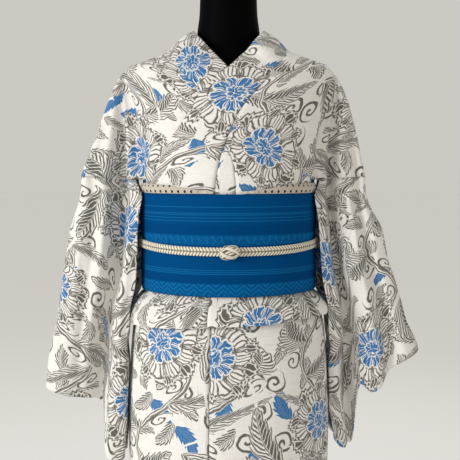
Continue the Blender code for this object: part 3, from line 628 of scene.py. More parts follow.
def clothPiece(
    name, rows, surface, nodes, start=(0, 0), wall=0.0011, skip=None, closed=False, flip=False, zero=0, capped=False,
):
    # a grid of cloth with its cut as a UV map in metres, thickened inwards
    wide = len(rows[0])
    verts = [tuple(p) for row in rows for p in row]
    faces = []
    corners = []
    us = []
    for row in rows:
        run = [0.0]
        for a, b in zip(row, row[1:] + row[:1]):
            run.append(run[-1] + (b - a).length)
        us.append([r - run[zero] + start[0] for r in run])
    vs = [[start[1]] * (wide + 1)]
    for low, high in zip(rows, rows[1:]):
        step = sum((b - a).length for a, b in zip(low, high)) / wide
        here = [(b - a).length for a, b in zip(low, high)]
        here.append(here[0])
        vs.append([v + lerp(step, h, 0.35) for v, h in zip(vs[-1], here)])
    for j in range(len(rows) - 1):
        for i in range(wide if closed else wide - 1):
            if skip and skip(j, i):
                continue
            n = (i + 1) % wide
            face = [j * wide + i, j * wide + n, (j + 1) * wide + n, (j + 1) * wide + i]
            corner = [(us[j][i], vs[j][i]), (us[j][i + 1], vs[j][i + 1])]
            corner += [(us[j + 1][i + 1], vs[j + 1][i + 1]), (us[j + 1][i], vs[j + 1][i])]
            faces.append(face[::-1] if flip else face)
            corners += corner[::-1] if flip else corner
    if capped:
        for j, ring in ((0, range(wide - 1, -1, -1)), (len(rows) - 1, range(wide))):
            faces.append([j * wide + i for i in ring])
            corners += [(us[j][i], vs[j][i]) for i in ring]
    mesh = bpy.data.meshes.new(name)
    mesh.from_pydata(verts, [], faces)
    cut = mesh.uv_layers.new(name="cut")
    for loop, place in zip(cut.data, corners):
        loop.uv = place
    piece = bpy.data.objects.new(name, mesh)
    bpy.context.scene.collection.objects.link(piece)
    bpy.context.view_layer.objects.active = piece
    loose = [v.index for v in mesh.vertices]
    used = set(i for face in faces for i in face)
    if len(used) < len(loose):
        keep = sorted(used)
        place = {k: i for i, k in enumerate(keep)}
        fresh = bpy.data.meshes.new(name)
        fresh.from_pydata([verts[k] for k in keep], [], [[place[k] for k in face] for face in faces])
        cut = fresh.uv_layers.new(name="cut")
        for loop, spot in zip(cut.data, corners):
            loop.uv = spot
        piece.data = fresh
        bpy.data.meshes.remove(mesh)
        mesh = fresh
    mesh.materials.append(surface)
    mesh.shade_smooth()
    if wall:
        thick = piece.modifiers.new("wall", "SOLIDIFY")
        thick.thickness = wall
        thick.offset = -1
        thick.use_even_offset = False
    if nodes:
        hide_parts(*nodes)
    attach(piece, "root")
    return piece


formLook = {
    # height, how far inside the cloth's line
    "rings": [
        (0.800, 0.0300), (0.806, 0.0100), (0.825, 0.0026), (0.870, 0.0028), (0.900, 0.0032), (0.930, 0.0032),
        (0.957, 0.0026), (1.108, 0.0026), (1.130, 0.0062), (1.200, 0.0075), (1.250, 0.0075), (1.278, 0.0075),
        (1.290, 0.0090), (1.298, 0.0180),
    ],
    # height, half width, half depth
    "neck": [
        (1.308, 0.1060, 0.0540), (1.320, 0.0740, 0.0480), (1.334, 0.0550, 0.0465), (1.346, 0.0510, 0.0465),
        (1.362, 0.0495, 0.0460), (1.390, 0.0460, 0.0455), (1.416, 0.0450, 0.0450), (1.446, 0.0445, 0.0445),
        (1.452, 0.0400, 0.0400),
    ],
    "neckY": 0.015,
    "caps": [0.97, 0.5, 0.002],
}


def makeForm():
    # the same form as its solid, round in place of faceted
    look = formLook
    inset = curve(look["rings"])
    width, depth = columns(look["neck"])
    angles = spaced(0, 360, 96)[:-1]
    rows = []
    for z in finer([ring[0] for ring in look["rings"]], 0.008):
        rows.append([bodyPoint(angle, z, -inset(z)) for angle in angles])
    for z in finer([ring[0] for ring in look["neck"]], 0.003):
        turns = [math.radians(angle) for angle in angles]
        rows.append([Vector((width(z) * math.sin(t), look["neckY"] - depth(z) * math.cos(t), z)) for t in turns])
    low, high = rows[0], rows[-1]
    top = Vector((0, look["neckY"], look["neck"][-1][0]))
    for share in look["caps"]:
        rows.insert(0, [Vector((p.x * share, p.y * share, p.z)) for p in low])
        rows.append([top.lerp(p, share) for p in high])
    piece = clothPiece("form_body", rows, formSkin, ["form_torso"], wall=0, closed=True, capped=True)


makeForm()
print("form made")


def cottonPiece(name, rows, node, start, flat, held="hung", restsOn=("form_body",), **more):
    piece = clothPiece(name, rows, cotton, [node], start, **more)
    return piece


sleeveLook = {
    "right": {
        "sign": -1,
        # height, inner fold, outer fold, middle, half depth
        "fall": [
            (0.670, 0.1665, 0.3050, -0.012, 0.026), (0.780, 0.1665, 0.2950, -0.014, 0.029),
            (0.840, 0.1665, 0.2890, -0.014, 0.030), (0.904, 0.1665, 0.2745, -0.014, 0.031),
            (0.925, 0.1650, 0.2715, -0.014, 0.031), (0.945, 0.1580, 0.2685, -0.014, 0.031),
            (0.968, 0.1510, 0.2650, -0.014, 0.031), (1.032, 0.1485, 0.2540, -0.013, 0.032),
            (1.096, 0.1470, 0.2430, -0.010, 0.034), (1.136, 0.1450, 0.2330, -0.006, 0.036),
            (1.192, 0.1450, 0.2120, -0.002, 0.038), (1.256, 0.1450, 0.1880, 0.000, 0.040),
            (1.292, 0.1450, 0.1705, 0.000, 0.040),
        ],
        "rim": [(0, 0.694), (0.12, 0.680), (0.24, 0.692), (0.32, 0.765), (0.38, 0.777), (0.70, 0.788), (1, 0.797)],
        # where the front wall's edge and the back wall's edge lie, by height
        "frontEdge": [
            (0.680, 0.1665), (0.712, 0.1630), (0.743, 0.1600), (0.789, 0.1580), (0.820, 0.1562), (0.882, 0.1545),
            (0.928, 0.1525), (0.943, 0.1495), (0.959, 0.1455), (0.974, 0.1432), (0.997, 0.1417), (1.020, 0.1405),
            (1.048, 0.1400), (1.080, 0.1370), (1.100, 0.1335), (1.128, 0.1310),
        ],
        "backEdge": [
            (0.680, 0.1665), (0.720, 0.1640), (0.760, 0.1610), (0.900, 0.1608), (0.915, 0.1605), (0.925, 0.1580),
            (0.935, 0.1530), (0.945, 0.1472), (0.955, 0.1435), (0.970, 0.1422), (1.128, 0.1415),
        ],
        "frontShift": 0.004,
        # share across at the top and at the rim, depth, and its width towards the body and away from it
        "creases": [(0.19, 0.33, 0.033, 0.055, 0.17), (0.62, 0.56, 0.009, 0.10, 0.10), (0.44, 0.48, -0.005, 0.07, 0.07)],
        "fine": [
            ("front", -0.171, 1.105, -0.180, 1.068, 0.0045, -0.0022),
            ("front", -0.169, 1.104, -0.160, 1.070, 0.0040, 0.0022),
            ("front", -0.166, 1.104, -0.146, 1.076, 0.0040, -0.0020),
            ("front", -0.201, 1.114, -0.160, 1.097, 0.0050, 0.0020),
            ("front", -0.228, 1.060, -0.205, 0.930, 0.0080, 0.0022),
            ("front", -0.250, 0.980, -0.262, 0.840, 0.0090, -0.0020),
            ("front", -0.215, 0.900, -0.235, 0.800, 0.0070, 0.0018),
            ("front", -0.165, 0.960, -0.172, 0.780, 0.0050, 0.0018),
            ("front", -0.160, 0.925, -0.176, 0.905, 0.0035, -0.0022),
        ],
    },
    "left": {
        "sign": 1,
        "fall": [
            (0.690, 0.1710, 0.3130, 0.000, 0.026), (0.780, 0.1670, 0.3110, 0.002, 0.030),
            (0.854, 0.1670, 0.3085, 0.004, 0.032), (0.902, 0.1670, 0.2885, 0.004, 0.032),
            (0.942, 0.1640, 0.2770, 0.004, 0.032), (0.965, 0.1580, 0.2700, 0.004, 0.032),
            (1.003, 0.1530, 0.2570, 0.003, 0.032), (1.056, 0.1490, 0.2450, 0.001, 0.033),
            (1.099, 0.1470, 0.2290, 0.000, 0.034), (1.126, 0.1450, 0.2200, 0.000, 0.036),
            (1.161, 0.1450, 0.2120, 0.000, 0.038), (1.209, 0.1450, 0.2010, 0.000, 0.040),
            (1.256, 0.1450, 0.1870, 0.000, 0.040), (1.292, 0.1450, 0.1700, 0.000, 0.040),
        ],
        "rim": [
            (0, 0.730), (0.12, 0.702), (0.24, 0.698), (0.30, 0.760), (0.34, 0.803), (0.44, 0.792),
            (0.54, 0.801), (0.62, 0.820), (0.76, 0.836), (1, 0.854),
        ],
        "frontEdge": [
            (0.690, 0.1710), (0.737, 0.1655), (0.771, 0.1594), (0.820, 0.1584), (0.907, 0.1568), (0.930, 0.1555),
            (0.942, 0.1540), (0.960, 0.1500), (0.977, 0.1468), (1.030, 0.1420), (1.060, 0.1400), (1.080, 0.1370),
            (1.100, 0.1335), (1.128, 0.1310),
        ],
        "backEdge": [
            (0.690, 0.1710), (0.720, 0.1660), (0.760, 0.1590), (0.900, 0.1585), (0.915, 0.1580), (0.925, 0.1560),
            (0.935, 0.1525), (0.945, 0.1475), (0.955, 0.1437), (0.970, 0.1422), (1.128, 0.1415),
        ],
        "frontShift": 0.0135,
        "creases": [(0.19, 0.22, 0.037, 0.050, 0.10), (0.66, 0.66, 0.012, 0.08, 0.10), (0.49, 0.50, -0.007, 0.06, 0.07)],
        "fine": [
            ("front", 0.163, 1.110, 0.176, 1.070, 0.0045, -0.0022),
            ("front", 0.160, 1.106, 0.158, 1.066, 0.0040, 0.0020),
            ("front", 0.185, 1.112, 0.157, 1.092, 0.0045, 0.0020),
            ("front", 0.212, 1.080, 0.232, 0.940, 0.0080, 0.0024),
            ("front", 0.238, 0.990, 0.268, 0.860, 0.0080, -0.0022),
            ("front", 0.215, 0.930, 0.205, 0.810, 0.0060, 0.0020),
            ("front", 0.166, 0.960, 0.170, 0.780, 0.0050, 0.0018),
        ],
    },
    "backCreases": [(0.36, 0.30, 0.018, 0.13, 0.13), (0.68, 0.62, 0.008, 0.12, 0.12)],
    "backShift": 0.012,
}
for side in ("right", "left"):
    sleeveLook[side]["curves"] = columns(sleeveLook[side]["fall"])
    for name in ("rim", "frontEdge", "backEdge"):
        sleeveLook[side][f"{name}Curve"] = curve(sleeveLook[side][name])


def sleeveSection(side, share, z, back, rimShare):
    look = sleeveLook[side]
    inner, outer, middle, depth = [c(z) for c in look["curves"]]
    full = (1 - share**6) ** 0.5
    closed = ease((0.90 - z) / 0.06)
    full *= 1 - closed * (1 - (1 - (1 - min(share / 0.10, 1.0)) ** 2) ** 0.5)
    y = depth * full
    for top, rim, deep, near, far in sleeveLook["backCreases"] if back else look["creases"]:
        away = share - lerp(top, rim, rimShare)
        y -= deep * full * math.exp(-((away / (near if away < 0 else far)) ** 2))
    # the inner edges swing in, in front of the obi and the skirt and behind them
    edge = look["backEdgeCurve" if back else "frontEdgeCurve"](z)
    lapped = closed * 0.05 * (outer - inner)
    swing = (inner - edge + lapped) * lerp(1, ease(share / 0.05) / 0.857, closed) * (1 - share) ** 3
    if back:
        y += sleeveLook["backShift"] * (1 - share) ** 4 * ease((z - 0.90) / 0.03) * ease((1.125 - z) / 0.03)
    else:
        y += look["frontShift"] * (1 - share) ** 4
    return Vector((look["sign"] * (lerp(inner, outer, share) - swing), middle + (y if back else -y), z))


def wingPoint(side, share, z, back):
    look = sleeveLook[side]
    inner, outer, middle, depth = [c(z) for c in look["curves"]]
    startAngle = 180 - wingAngle if back else wingAngle
    start = bodyPoint(startAngle, z)
    turn = math.radians(startAngle)
    width = bodyWidth(z)
    bodyDepth = bodyBack(z) if back else bodyFront(z)
    leave = Vector((width * math.cos(turn), bodyDepth * math.sin(turn), 0)) * (-1 if back else 1)
    outerX = max(outer, width)
    reach = outerX - start.x
    foldDepth = min(depth, bodyDepth) * 0.9
    fold = Vector((outerX, middle, z))
    bendA = start + leave.normalized() * min(reach, 0.03) * 0.4
    bendB = fold + Vector((0, foldDepth if back else -foldDepth, 0))
    t = share
    point = start * (1 - t) ** 3 + bendA * 3 * t * (1 - t) ** 2 + bendB * 3 * t**2 * (1 - t) + fold * t**3
    fade = 1 - ease((z - sleeveSeam) / (1.285 - sleeveSeam))
    for top, rim, deep, near, far in sleeveLook["backCreases"] if back else look["creases"]:
        away = share - lerp(0.25, 1.0, top)
        wide = 0.8 * (near if away < 0 else far)
        dent = deep * 0.8 * fade * math.exp(-((away / wide) ** 2)) * (1 - share**4)
        point.y += -dent if back else dent
    return Vector((look["sign"] * point.x, point.y, z))


def seamHeight(share):
    return sleeveSeam + seamRise * ease(share)


upperLook = {
    "rows": [
        0.9755, 1.030, 1.070, slitBottom, sleeveSeam, 1.154, 1.180, 1.210, 1.240, 1.262, 1.282, 1.292, 1.300,
        1.306, 1.314, 1.322, 1.330,
    ],
    "cells": {"front": 26, "wingFront": 26, "wingBack": 18, "back": 20},
    "creases": {
        "left": [
            ("front", 0.160, 1.270, 0.148, 1.140, 0.010, -0.0030),
            ("front", 0.118, 1.190, 0.140, 1.130, 0.009, 0.0022),
            ("front", 0.060, 1.290, 0.030, 1.180, 0.016, -0.0010),
            ("back", 0.150, 1.260, 0.120, 1.130, 0.012, -0.0035),
            ("back", 0.060, 1.250, 0.075, 1.130, 0.014, 0.0022),
        ],
        "right": [
            ("front", -0.158, 1.275, -0.142, 1.140, 0.010, -0.0032),
            ("front", -0.105, 1.200, -0.130, 1.125, 0.009, 0.0022),
            ("front", -0.140, 1.290, -0.085, 1.235, 0.010, -0.0012),
            ("back", -0.150, 1.260, -0.118, 1.140, 0.012, -0.0032),
            ("back", -0.080, 1.240, -0.070, 1.160, 0.015, 0.0022),
        ],
    },
    "starts": {"left": (0.021, 0.13), "right": (0.28, 0.41)},
    # degrees past the seam and depth under it, where the edge goes below the collar
    "tuck": {
        "left": [(-1.9, 0.0018), (-0.9, 0.0017), (-0.27, 0.0016)],
        "right": [(-1.9, 0.0014), (-0.9, 0.0013), (-0.27, 0.0011)],
    },
}


def frontOut(side, angle, z):
    if side == "right":
        return 0.0
    full = lerp(layers["leftFrontLow"], layers["leftFront"], ease((z - 1.045) / 0.02))
    return full * (1 - ease((angle - 70) / (wingAngle - 70)))


def frontEdge(z):
    return max(frontNeck(z), okumiSeam(z) if z < okumiTop else -1)


def upperRow(side, z):
    look = upperLook
    cells = look["cells"]
    sign = sleeveLook[side]["sign"]
    gap = layers["gap"]
    top = look["rows"][-1]
    turn = lerp(wingAngle, 88, ease((z - 1.292) / (top - 1.292)))
    edge = angleAt(frontEdge(z) + 0.6 * gap, z, frontOut(side, 0, z))
    row = []
    tuck = look["tuck"][side]
    for angle, dip in [(edge + a, d) for a, d in tuck] + [(a, 0) for a in spaced(edge, turn, cells["front"])]:
        p = bodyPoint(angle, z, frontOut(side, angle, z) - dip)
        row.append(Vector((sign * p.x, p.y, z)))
    lift = 1 - ease((z - sleeveSeam) / (1.29 - sleeveSeam))
    blend = ease((z - 1.284) / 0.015)
    wings = [(s, False) for s in spaced(0, 1, cells["wingFront"])[1:]]
    wings += [(s, True) for s in spaced(1, 0, cells["wingBack"])[1:]]
    for n, (share, back) in enumerate(wings):
        plain = bodyPoint(lerp(turn, 180 - turn, (n + 1) / len(wings)), z)
        plain.x *= sign
        if z < sleeveSeam:
            row.append(plain)
            continue
        wing = wingPoint(side, share, z + (seamHeight(share) - sleeveSeam) * lift, back)
        row.append(wing.lerp(plain, blend))
    end = 180 - angleAt(backNeck(z) + 0.6 * gap, z)
    behind = [(a, 0) for a in spaced(180 - turn, end, cells["back"])[1:]]
    reach = lerp(0.02, 1, ease((z - 1.298) / 0.008))
    behind += [(end - a * reach, d * reach) for a, d in look["tuck"]["right"][::-1]]
    for angle, dip in behind:
        p = bodyPoint(angle, z, -dip)
        row.append(Vector((sign * p.x, p.y, z)))
    return row


def makeUpper(side):
    look = upperLook
    cells = look["cells"]
    heights = []
    for low, high in zip(look["rows"], look["rows"][1:]):
        heights += [low] if low == slitBottom else finer([low, high], 0.0075)[:-1]
    heights.append(look["rows"][-1])
    first = cells["front"] + len(look["tuck"][side])
    last = first + cells["wingFront"] + cells["wingBack"]
    slit = heights.index(slitBottom)
    rows = [upperRow(side, z) for z in heights]
    rows = bentRows(rows, look["creases"][side])
    cottonPiece(
        f"body_{side}_upper_cloth", rows, f"body_{side}_upper", look["starts"][side], (0.40, 0.36),
        skip=lambda j, i: j == slit and first <= i < last, flip=side == "right",
    )


def makeUpperOkumi(side):
    sign = sleeveLook[side]["sign"]
    gap = layers["gap"]
    rows = []
    for z in finer([z for z in upperLook["rows"] if z <= 1.180], 0.008):
        out = frontOut(side, 0, z)
        low = angleAt(frontNeck(z) + 0.6 * gap, z, out)
        high = angleAt(max(frontEdge(z) - 0.6 * gap, frontNeck(z) + 1.4 * gap), z, out)
        rows.append([])
        tuck = upperLook["tuck"][side]
        for angle, dip in [(low + a, d) for a, d in tuck] + [(a, 0) for a in spaced(low, high, 6)]:
            p = bodyPoint(angle, z, out - dip)
            rows[-1].append(Vector((sign * p.x, p.y, z)))
    piece = clothPiece(
        f"okumi_{side}_upper_cloth", rows, cotton, [f"okumi_{side}_upper"], (0.10, 0.31), flip=side == "right",
    )


sleeveStarts = {"right": (0.06, 0.02), "left": (0.24, 0.33)}


def makeSleeve(side):
    look = sleeveLook[side]
    shares = finer([0, 0.05, 0.12, 0.18, 0.24, 0.29, 0.34, 0.40, 0.48, 0.57, 0.66, 0.76, 0.86, 0.94, 0.98, 1.0], 0.018)
    backShares = finer([0.97, 0.9, 0.78, 0.64, 0.5, 0.38, 0.28, 0.18, 0.08, 0], 0.03)
    order = [(s, False) for s in shares] + [(s, True) for s in backShares]
    steps = spaced(0, 1, 72)
    rows = []
    for v in steps:
        row = []
        for share, back in order:
            wing = lerp(0.24, 1.0, share)
            top = seamHeight(wing) - 0.0005
            z = lerp(top, look["rimCurve"](share), v)
            start = wingPoint(side, wing, top, back)
            here = sleeveSection(side, share, z, back, v)
            blend = ease((top - z) / 0.09)
            # the cloth hangs in long soft waves, more so lower down
            wave = noise.noise(Vector((share * 5.0, z * 3.2, 4.0 if side == "left" else 9.0)))
            wave += 0.5 * noise.noise(Vector((share * 11.0, z * 5.0, 2.0)))
            sooner = lerp(blend, ease((top - z) / 0.025), (1 - share) ** 4)
            y = lerp(start.y, here.y, sooner)
            y += 0.0035 * wave * ease((top - z) / 0.16) * (1 - share**8) * (1 if back else -1) * ease(share / 0.12)
            row.append(Vector((lerp(start.x, here.x, sooner), y, z)))
        rows.append(row)
    rows = bentRows(rows, look["fine"])
    openRows = 42
    last = len(order) - 1
    cottonPiece(
        f"sleeve_{side}_cloth", rows, f"sleeve_{side}", sleeveStarts[side], (0.33, 0.40),
        restsOn=(f"body_{side}_upper_cloth",), skip=lambda j, i: i == last and j < openRows,
        closed=True, flip=side == "left",
    )


for side in ("right", "left"):
    makeUpper(side)
    makeUpperOkumi(side)
    makeSleeve(side)
print("upper body and sleeves made")


collarLook = {
    "wall": 0.0024,
    "seamGap": 0.0006,
    # height of the seam, then the folded edge beside it on the body's line
    "lapel": [
        (1.0700, -0.1220, 1.0700), (1.1110, -0.1200, 1.1140), (1.1430, -0.1010, 1.1650),
        (1.1620, -0.0830, 1.1930), (1.1800, -0.0650, 1.2170), (1.2160, -0.0380, 1.2600),
        (1.2370, -0.0190, 1.2780), (1.2580, 0.0000, 1.2955), (1.2820, 0.0200, 1.3160),
        (1.2920, 0.0285, 1.3250),
    ],
    # round the neck: height of the seam, behind or not, and the folded edge's place
    "nape": [
        (1.3000, False, 0.0370, -0.0480, 1.3370), (1.3060, False, 0.0430, -0.0360, 1.3450),
        (1.3140, False, 0.0490, -0.0220, 1.3530), (1.3220, False, 0.0535, -0.0090, 1.3590),
        (1.3300, False, 0.0560, 0.0030, 1.3625), (1.3300, True, 0.0570, 0.0230, 1.3640),
        (1.3220, True, 0.0545, 0.0460, 1.3635), (1.3140, True, 0.0430, 0.0700, 1.3605),
        (1.3060, True, 0.0240, 0.0860, 1.3575), (1.3000, True, 0.0000, 0.0920, 1.3560),
    ],
}


def collarSide(sign, out):
    look = collarLook
    edgeX, edgeZ = columns(look["lapel"])
    shares = spaced(0, 1, 16)
    rows = []
    for seamZ in finer([1.070, slitBottom, sleeveSeam, 1.154, 1.180, 1.210, 1.240, 1.262, 1.282, 1.292], 0.006):
        x0 = edgeX(seamZ) * (1.0 if sign > 0 else 0.93)
        z0 = edgeZ(seamZ)
        seam = frontNeck(seamZ) - look["seamGap"]
        here = lerp(out, layers["rightCollar"], ease((seamZ - 1.262) / 0.03))
        row = []
        for share in shares:
            z = lerp(z0, seamZ, share)
            p = bodyPoint(angleAt(lerp(x0, seam, share), z, here), z, here)
            row.append(Vector((sign * p.x, p.y, z)))
        rows.append(row)
    stops = []
    for seamZ, back, x, y, z in look["nape"]:
        at = (backNeck if back else frontNeck)(seamZ) - look["seamGap"]
        angle = angleAt(max(at, 0), seamZ)
        p = bodyPoint(180 - angle if back else angle, seamZ, -look["seamGap"] if back else 0)
        lifted = seamZ + (0.0022 if back else 0.0010)
        stops.append((x, y, z, p.x, p.y, lifted, 1.0 if back else 0.0))
    last = rows[-1]
    stops.insert(0, (sign * last[0].x, last[0].y, last[0].z, sign * last[-1].x, last[-1].y, last[-1].z, 0.0))
    for ex, ey, ez, sx, sy, sz, behind in smoothPath(stops, 40)[1:]:
        edge = Vector((sign * ex, ey, ez))
        seam = Vector((sign * sx, sy, sz))
        row = []
        for share in shares:
            bulge = 0.004 * math.sin(math.pi * share)
            out3 = Vector((sign * bulge * 0.4, bulge * lerp(-0.9, 0.9, behind), bulge * 0.4))
            row.append(edge.lerp(seam, share) + out3)
        rows.append(row)
    return rows


def makeCollar():
    left = collarSide(1, layers["leftCollar"])
    right = collarSide(-1, layers["rightCollar"])
    rows = left + right[::-1][1:]
    # the seam pressed down a little
    made = []
    for row in rows:
        across = (row[-1] - row[0]).length
        moved = []
        for i, p in enumerate(row):
            near = i / (len(row) - 1) * across
            press = -0.0006 * math.exp(-((across - near) / 0.004) ** 2)
            moved.append(p + Vector((0, -press, 0)))
        made.append(moved)
    piece = clothPiece("collar_cloth", made, cotton, ["collar"], (0.05, 0.40), wall=collarLook["wall"])


makeCollar()
print("collar made")


skirtLook = {
    "heights": [0.085, 0.16, 0.30, 0.46, 0.62, 0.74, 0.81, 0.86, 0.895, 0.915, 0.93, 0.944],
    "seamAngle": 0.13,
    # name, first and last angle from the front, layer, start on the cut, flat size
    "panels": [
        ("back_left_lower", 88, 180, 0.0, (0.03, 0.11), (0.22, 0.87)),
        ("back_right_lower", -180, -88, 0.0, (0.21, 0.37), (0.22, 0.87)),
        ("front_right_lower", -88, 4, 0.0, (0.14, 0.27), (0.22, 0.87)),
        ("okumi_right_lower", 4, 62, 0.0, (0.02, 0.47), (0.14, 0.87)),
        ("front_left_lower", -10, 88, layers["skirtOver"], (0.255, 0.185), (0.24, 0.87)),
        ("okumi_left_lower", -68, -10, layers["skirtOver"], (0.02, 0.33), (0.14, 0.87)),
    ],
    "waves": 0.0014,
}


def skirtOut(out, angle):
    return out * (1 - ease((angle - 66) / 20))


def makeSkirt():
    look = skirtLook
    for name, first, last, out, start, flat in look["panels"]:
        rows = []
        for z in finer(look["heights"], 0.012):
            row = []
            for angle in spaced(first + look["seamAngle"], last - look["seamAngle"], max(12, round((last - first) / 2))):
                raised = 0.014 * ease((-30 - angle) / 38) if name == "okumi_left_lower" else 0.0
                height = z + raised * (1 - ease((z - 0.085) / 0.3))
                edge = min(angle - first, last - angle)
                wave = noise.noise(Vector((angle / 24, z * 2.4, 7.0 + out * 500)))
                wave = max(wave, -0.1) * look["waves"] * ease(edge / 9) * ease((0.90 - z) / 0.05)
                pinch = -0.0005 * math.exp(-((edge / 0.9) ** 2)) if out == 0 or last == 88 else 0
                row.append(bodyPoint(angle, height, skirtOut(out, angle) + wave + pinch * 0.5))
            rows.append(row)
        cottonPiece(f"{name}_cloth", rows, name, start, flat, restsOn=("form_body",))


foldLook = {
    # height, half width, depth in front, depth behind, from the obi down and up again inside
    "rings": [
        (0.9747, 0.1300, 0.1030, 0.1030), (0.9580, 0.1305, 0.1035, 0.1035), (0.9490, 0.1420, 0.1100, 0.1085),
        (0.9400, 0.1510, 0.1180, 0.1150), (0.9300, 0.1575, 0.1235, 0.1200), (0.9215, 0.1605, 0.1260, 0.1225),
        (0.9145, 0.1605, 0.1262, 0.1225), (0.9110, 0.1580, 0.1240, 0.1203), (0.9145, 0.1548, 0.1215, 0.1176),
        (0.9230, 0.1508, 0.1190, 0.1152), (0.9310, 0.1472, 0.1163, 0.1122),
    ],
    "outerRows": 7,
    "drop": 0.0110,
    "rise": 0.0020,
    # angle from the front, and how far the lower edge is pulled up there
    "lift": [
        (-180, 0.0), (-125, 0.0015), (-90, 0.0040), (-20, 0.0045), (22, 0.0055), (45, 0.0090), (62, 0.0080),
        (82, 0.0050), (125, 0.0010), (180, 0.0),
    ],
    "parts": [
        ("waist_fold_left", -11, 180, (0.01, 0.02), (0.42, 0.085)),
        ("waist_fold_okumi", -72, -11, (0.19, 0.22), (0.14, 0.085)),
        ("waist_fold_right", -180, -72, (0.10, 0.44), (0.25, 0.085)),
    ],
}


def foldOut(n, angle):
    over = 1 - ease((angle - 66) / 20) if angle > -72 else 0.0
    if n < foldLook["outerRows"]:
        return layers["leftFrontLow"] * over
    return layers["skirtOver"] * over + layers["foldClear"]


def makeWaistFold():
    look = foldLook
    lift = curve(look["lift"])
    for name, first, last, start, flat in look["parts"]:
        angles = spaced(first + 0.13, last - 0.13, max(24, round((last - first) / 2.5)))
        coarse = []
        for n, (z, width, front, back) in enumerate(look["rings"]):
            share = ease((0.957 - z) / 0.04)
            row = []
            for angle in angles:
                turn = math.radians(angle)
                depth = front if math.cos(turn) > 0 else back
                out = foldOut(n, angle)
                side = math.sin(turn)
                shift = look["rise"] * side if side > 0 else look["drop"] * side
                shift += lift(angle)
                soft = 0.0010 * noise.noise(Vector((angle / 15, z * 30, 1.0))) * share
                x = (width + out + soft) * side
                y = -(depth + out + soft) * math.cos(turn)
                row.append((x, y, z + shift * share))
            coarse.append(row)
        fine = [smoothPath([row[i] for row in coarse], 40) for i in range(len(angles))]
        rows = [[Vector(fine[i][j]) for i in range(len(angles))] for j in range(41)]
        cottonPiece(f"{name}_cloth", rows, name, start, flat, held="folded", restsOn=("form_body",), flip=True)


makeSkirt()
makeWaistFold()
print("skirt and waist fold made")


# Obi, bow, scarf, cord and knot

cordLook = {
    "z": 1.030, "height": 0.0135, "depth": 0.0062, "handLength": 0.316, "handY": 0.1642, "handThick": 0.0070,
    "stitch": 0.0050, "strand": 0.0017, "knot": (0.0265, 0.0170, 0.0215), "knotX": 0.002,
}


def cordZ(y):
    return cordLook["z"] - 0.006 * ease((-y - 0.02) / 0.1)


def makeObi():
    heights = finer([0.957, 0.985, 1.011], 0.006) + [None, 1.020, 1.030, 1.040, None] + finer([1.050, 1.080, 1.108], 0.006)
    levels = sorted(set(h for h in heights if h))
    rows = []
    for z in levels:
        row = []
        for angle in spaced(0, 360, 180)[:-1]:
            far = abs(z - cordZ(bodyPoint(angle, 1.0, layers["obi"]).y))
            inset = layers["groove"] * (1 - ease((far - 0.003) / 0.011))
            edge = 0.0006 * (1 - ease(min(z - 0.957, 1.108 - z) / 0.004))
            soft = 0.0005 * noise.noise(Vector((angle / 20, z * 18, 3.0)))
            p = bodyPoint(angle, 1.0, layers["obi"] - inset - edge + soft)
            row.append(Vector((p.x, p.y, z)))
        rows.append(row)
    piece = clothPiece("obi_wrap_cloth", rows, obiCloth, ["obi_wrap"], (0, 0.957), wall=0.0022, closed=True)


bowLook = {
    "side": [
        (0.1133, 1.000), (0.1136, 1.070), (0.1150, 1.128), (0.1270, 1.160), (0.1560, 1.176), (0.1880, 1.168),
        (0.2060, 1.135), (0.2090, 1.080), (0.2030, 1.000), (0.1930, 0.930), (0.1870, 0.898), (0.1750, 0.885),
        (0.1630, 0.897), (0.1600, 0.940), (0.1600, 1.000), (0.1552, 1.010), (0.1505, 1.000), (0.1500, 0.920),
        (0.1500, 0.825),
    ],
    "width": 0.300,
}


def makeBow():
    half = bowLook["width"] / 2
    rows = []
    for y, z in smoothPath(bowLook["side"], 150):
        row = []
        for x in spaced(-half, half, 28):
            bowed = 0.006 * (x / half) ** 2 * ease((y - 0.165) / 0.03)
            soft = 0.0016 * noise.noise(Vector((x * 9, z * 9, 5.0))) * ease((y - 0.165) / 0.03)
            row.append(Vector((x, y - bowed + soft, z)))
        rows.append(row)
    piece = clothPiece("obi_bow_cloth", rows, obiCloth, ["obi_bow"], (0, 0.02), wall=0.0026)
    # the bow shows the obi's whole width, so its bands run down it on both sides of the middle
    mesh = piece.data
    for loop, place in zip(mesh.loops, mesh.uv_layers["cut"].data):
        place.uv = (place.uv[1], obiLook["low"] + abs(mesh.vertices[loop.vertex_index].co.x))
    look = cordLook
    rows = []
    for z in finer([0.9655, 0.990, 1.075, 1.0995], 0.008):
        tight = 0.0030 * (1 - ease(min(z - 0.9655, 1.0995 - z) / 0.004))
        row = [Vector((x, look["handY"] + look["handThick"] - tight * 0.4, z)) for x in spaced(0.1578, -0.1578, 24)]
        rows.append(row)
    piece = clothPiece("obi_hand_cloth", rows, obiCloth, ["obi_hand"], (0, 0.9655), wall=0.0060)


scarfLook = {
    # angle from the front, height, inside and outside from the body's line
    "rows": [
        (9, 0.0035, 0.0064, 0.0094), (20, 0.0060, 0.0064, 0.0096), (40, 0.0120, 0.0064, 0.0100),
        (66, 0.0148, 0.0062, 0.0102), (80, 0.0152, 0.0030, 0.0100), (110, 0.0158, 0.0016, 0.0098),
        (135, 0.0180, 0.0014, 0.0090), (180, 0.0170, 0.0014, 0.0084),
    ],
    "profile": [(0.05, 0.0), (0.6, 0.0), (1.0, 0.30), (0.95, 0.62), (0.62, 0.93), (0.30, 1.0), (0.0, 0.75)],
}


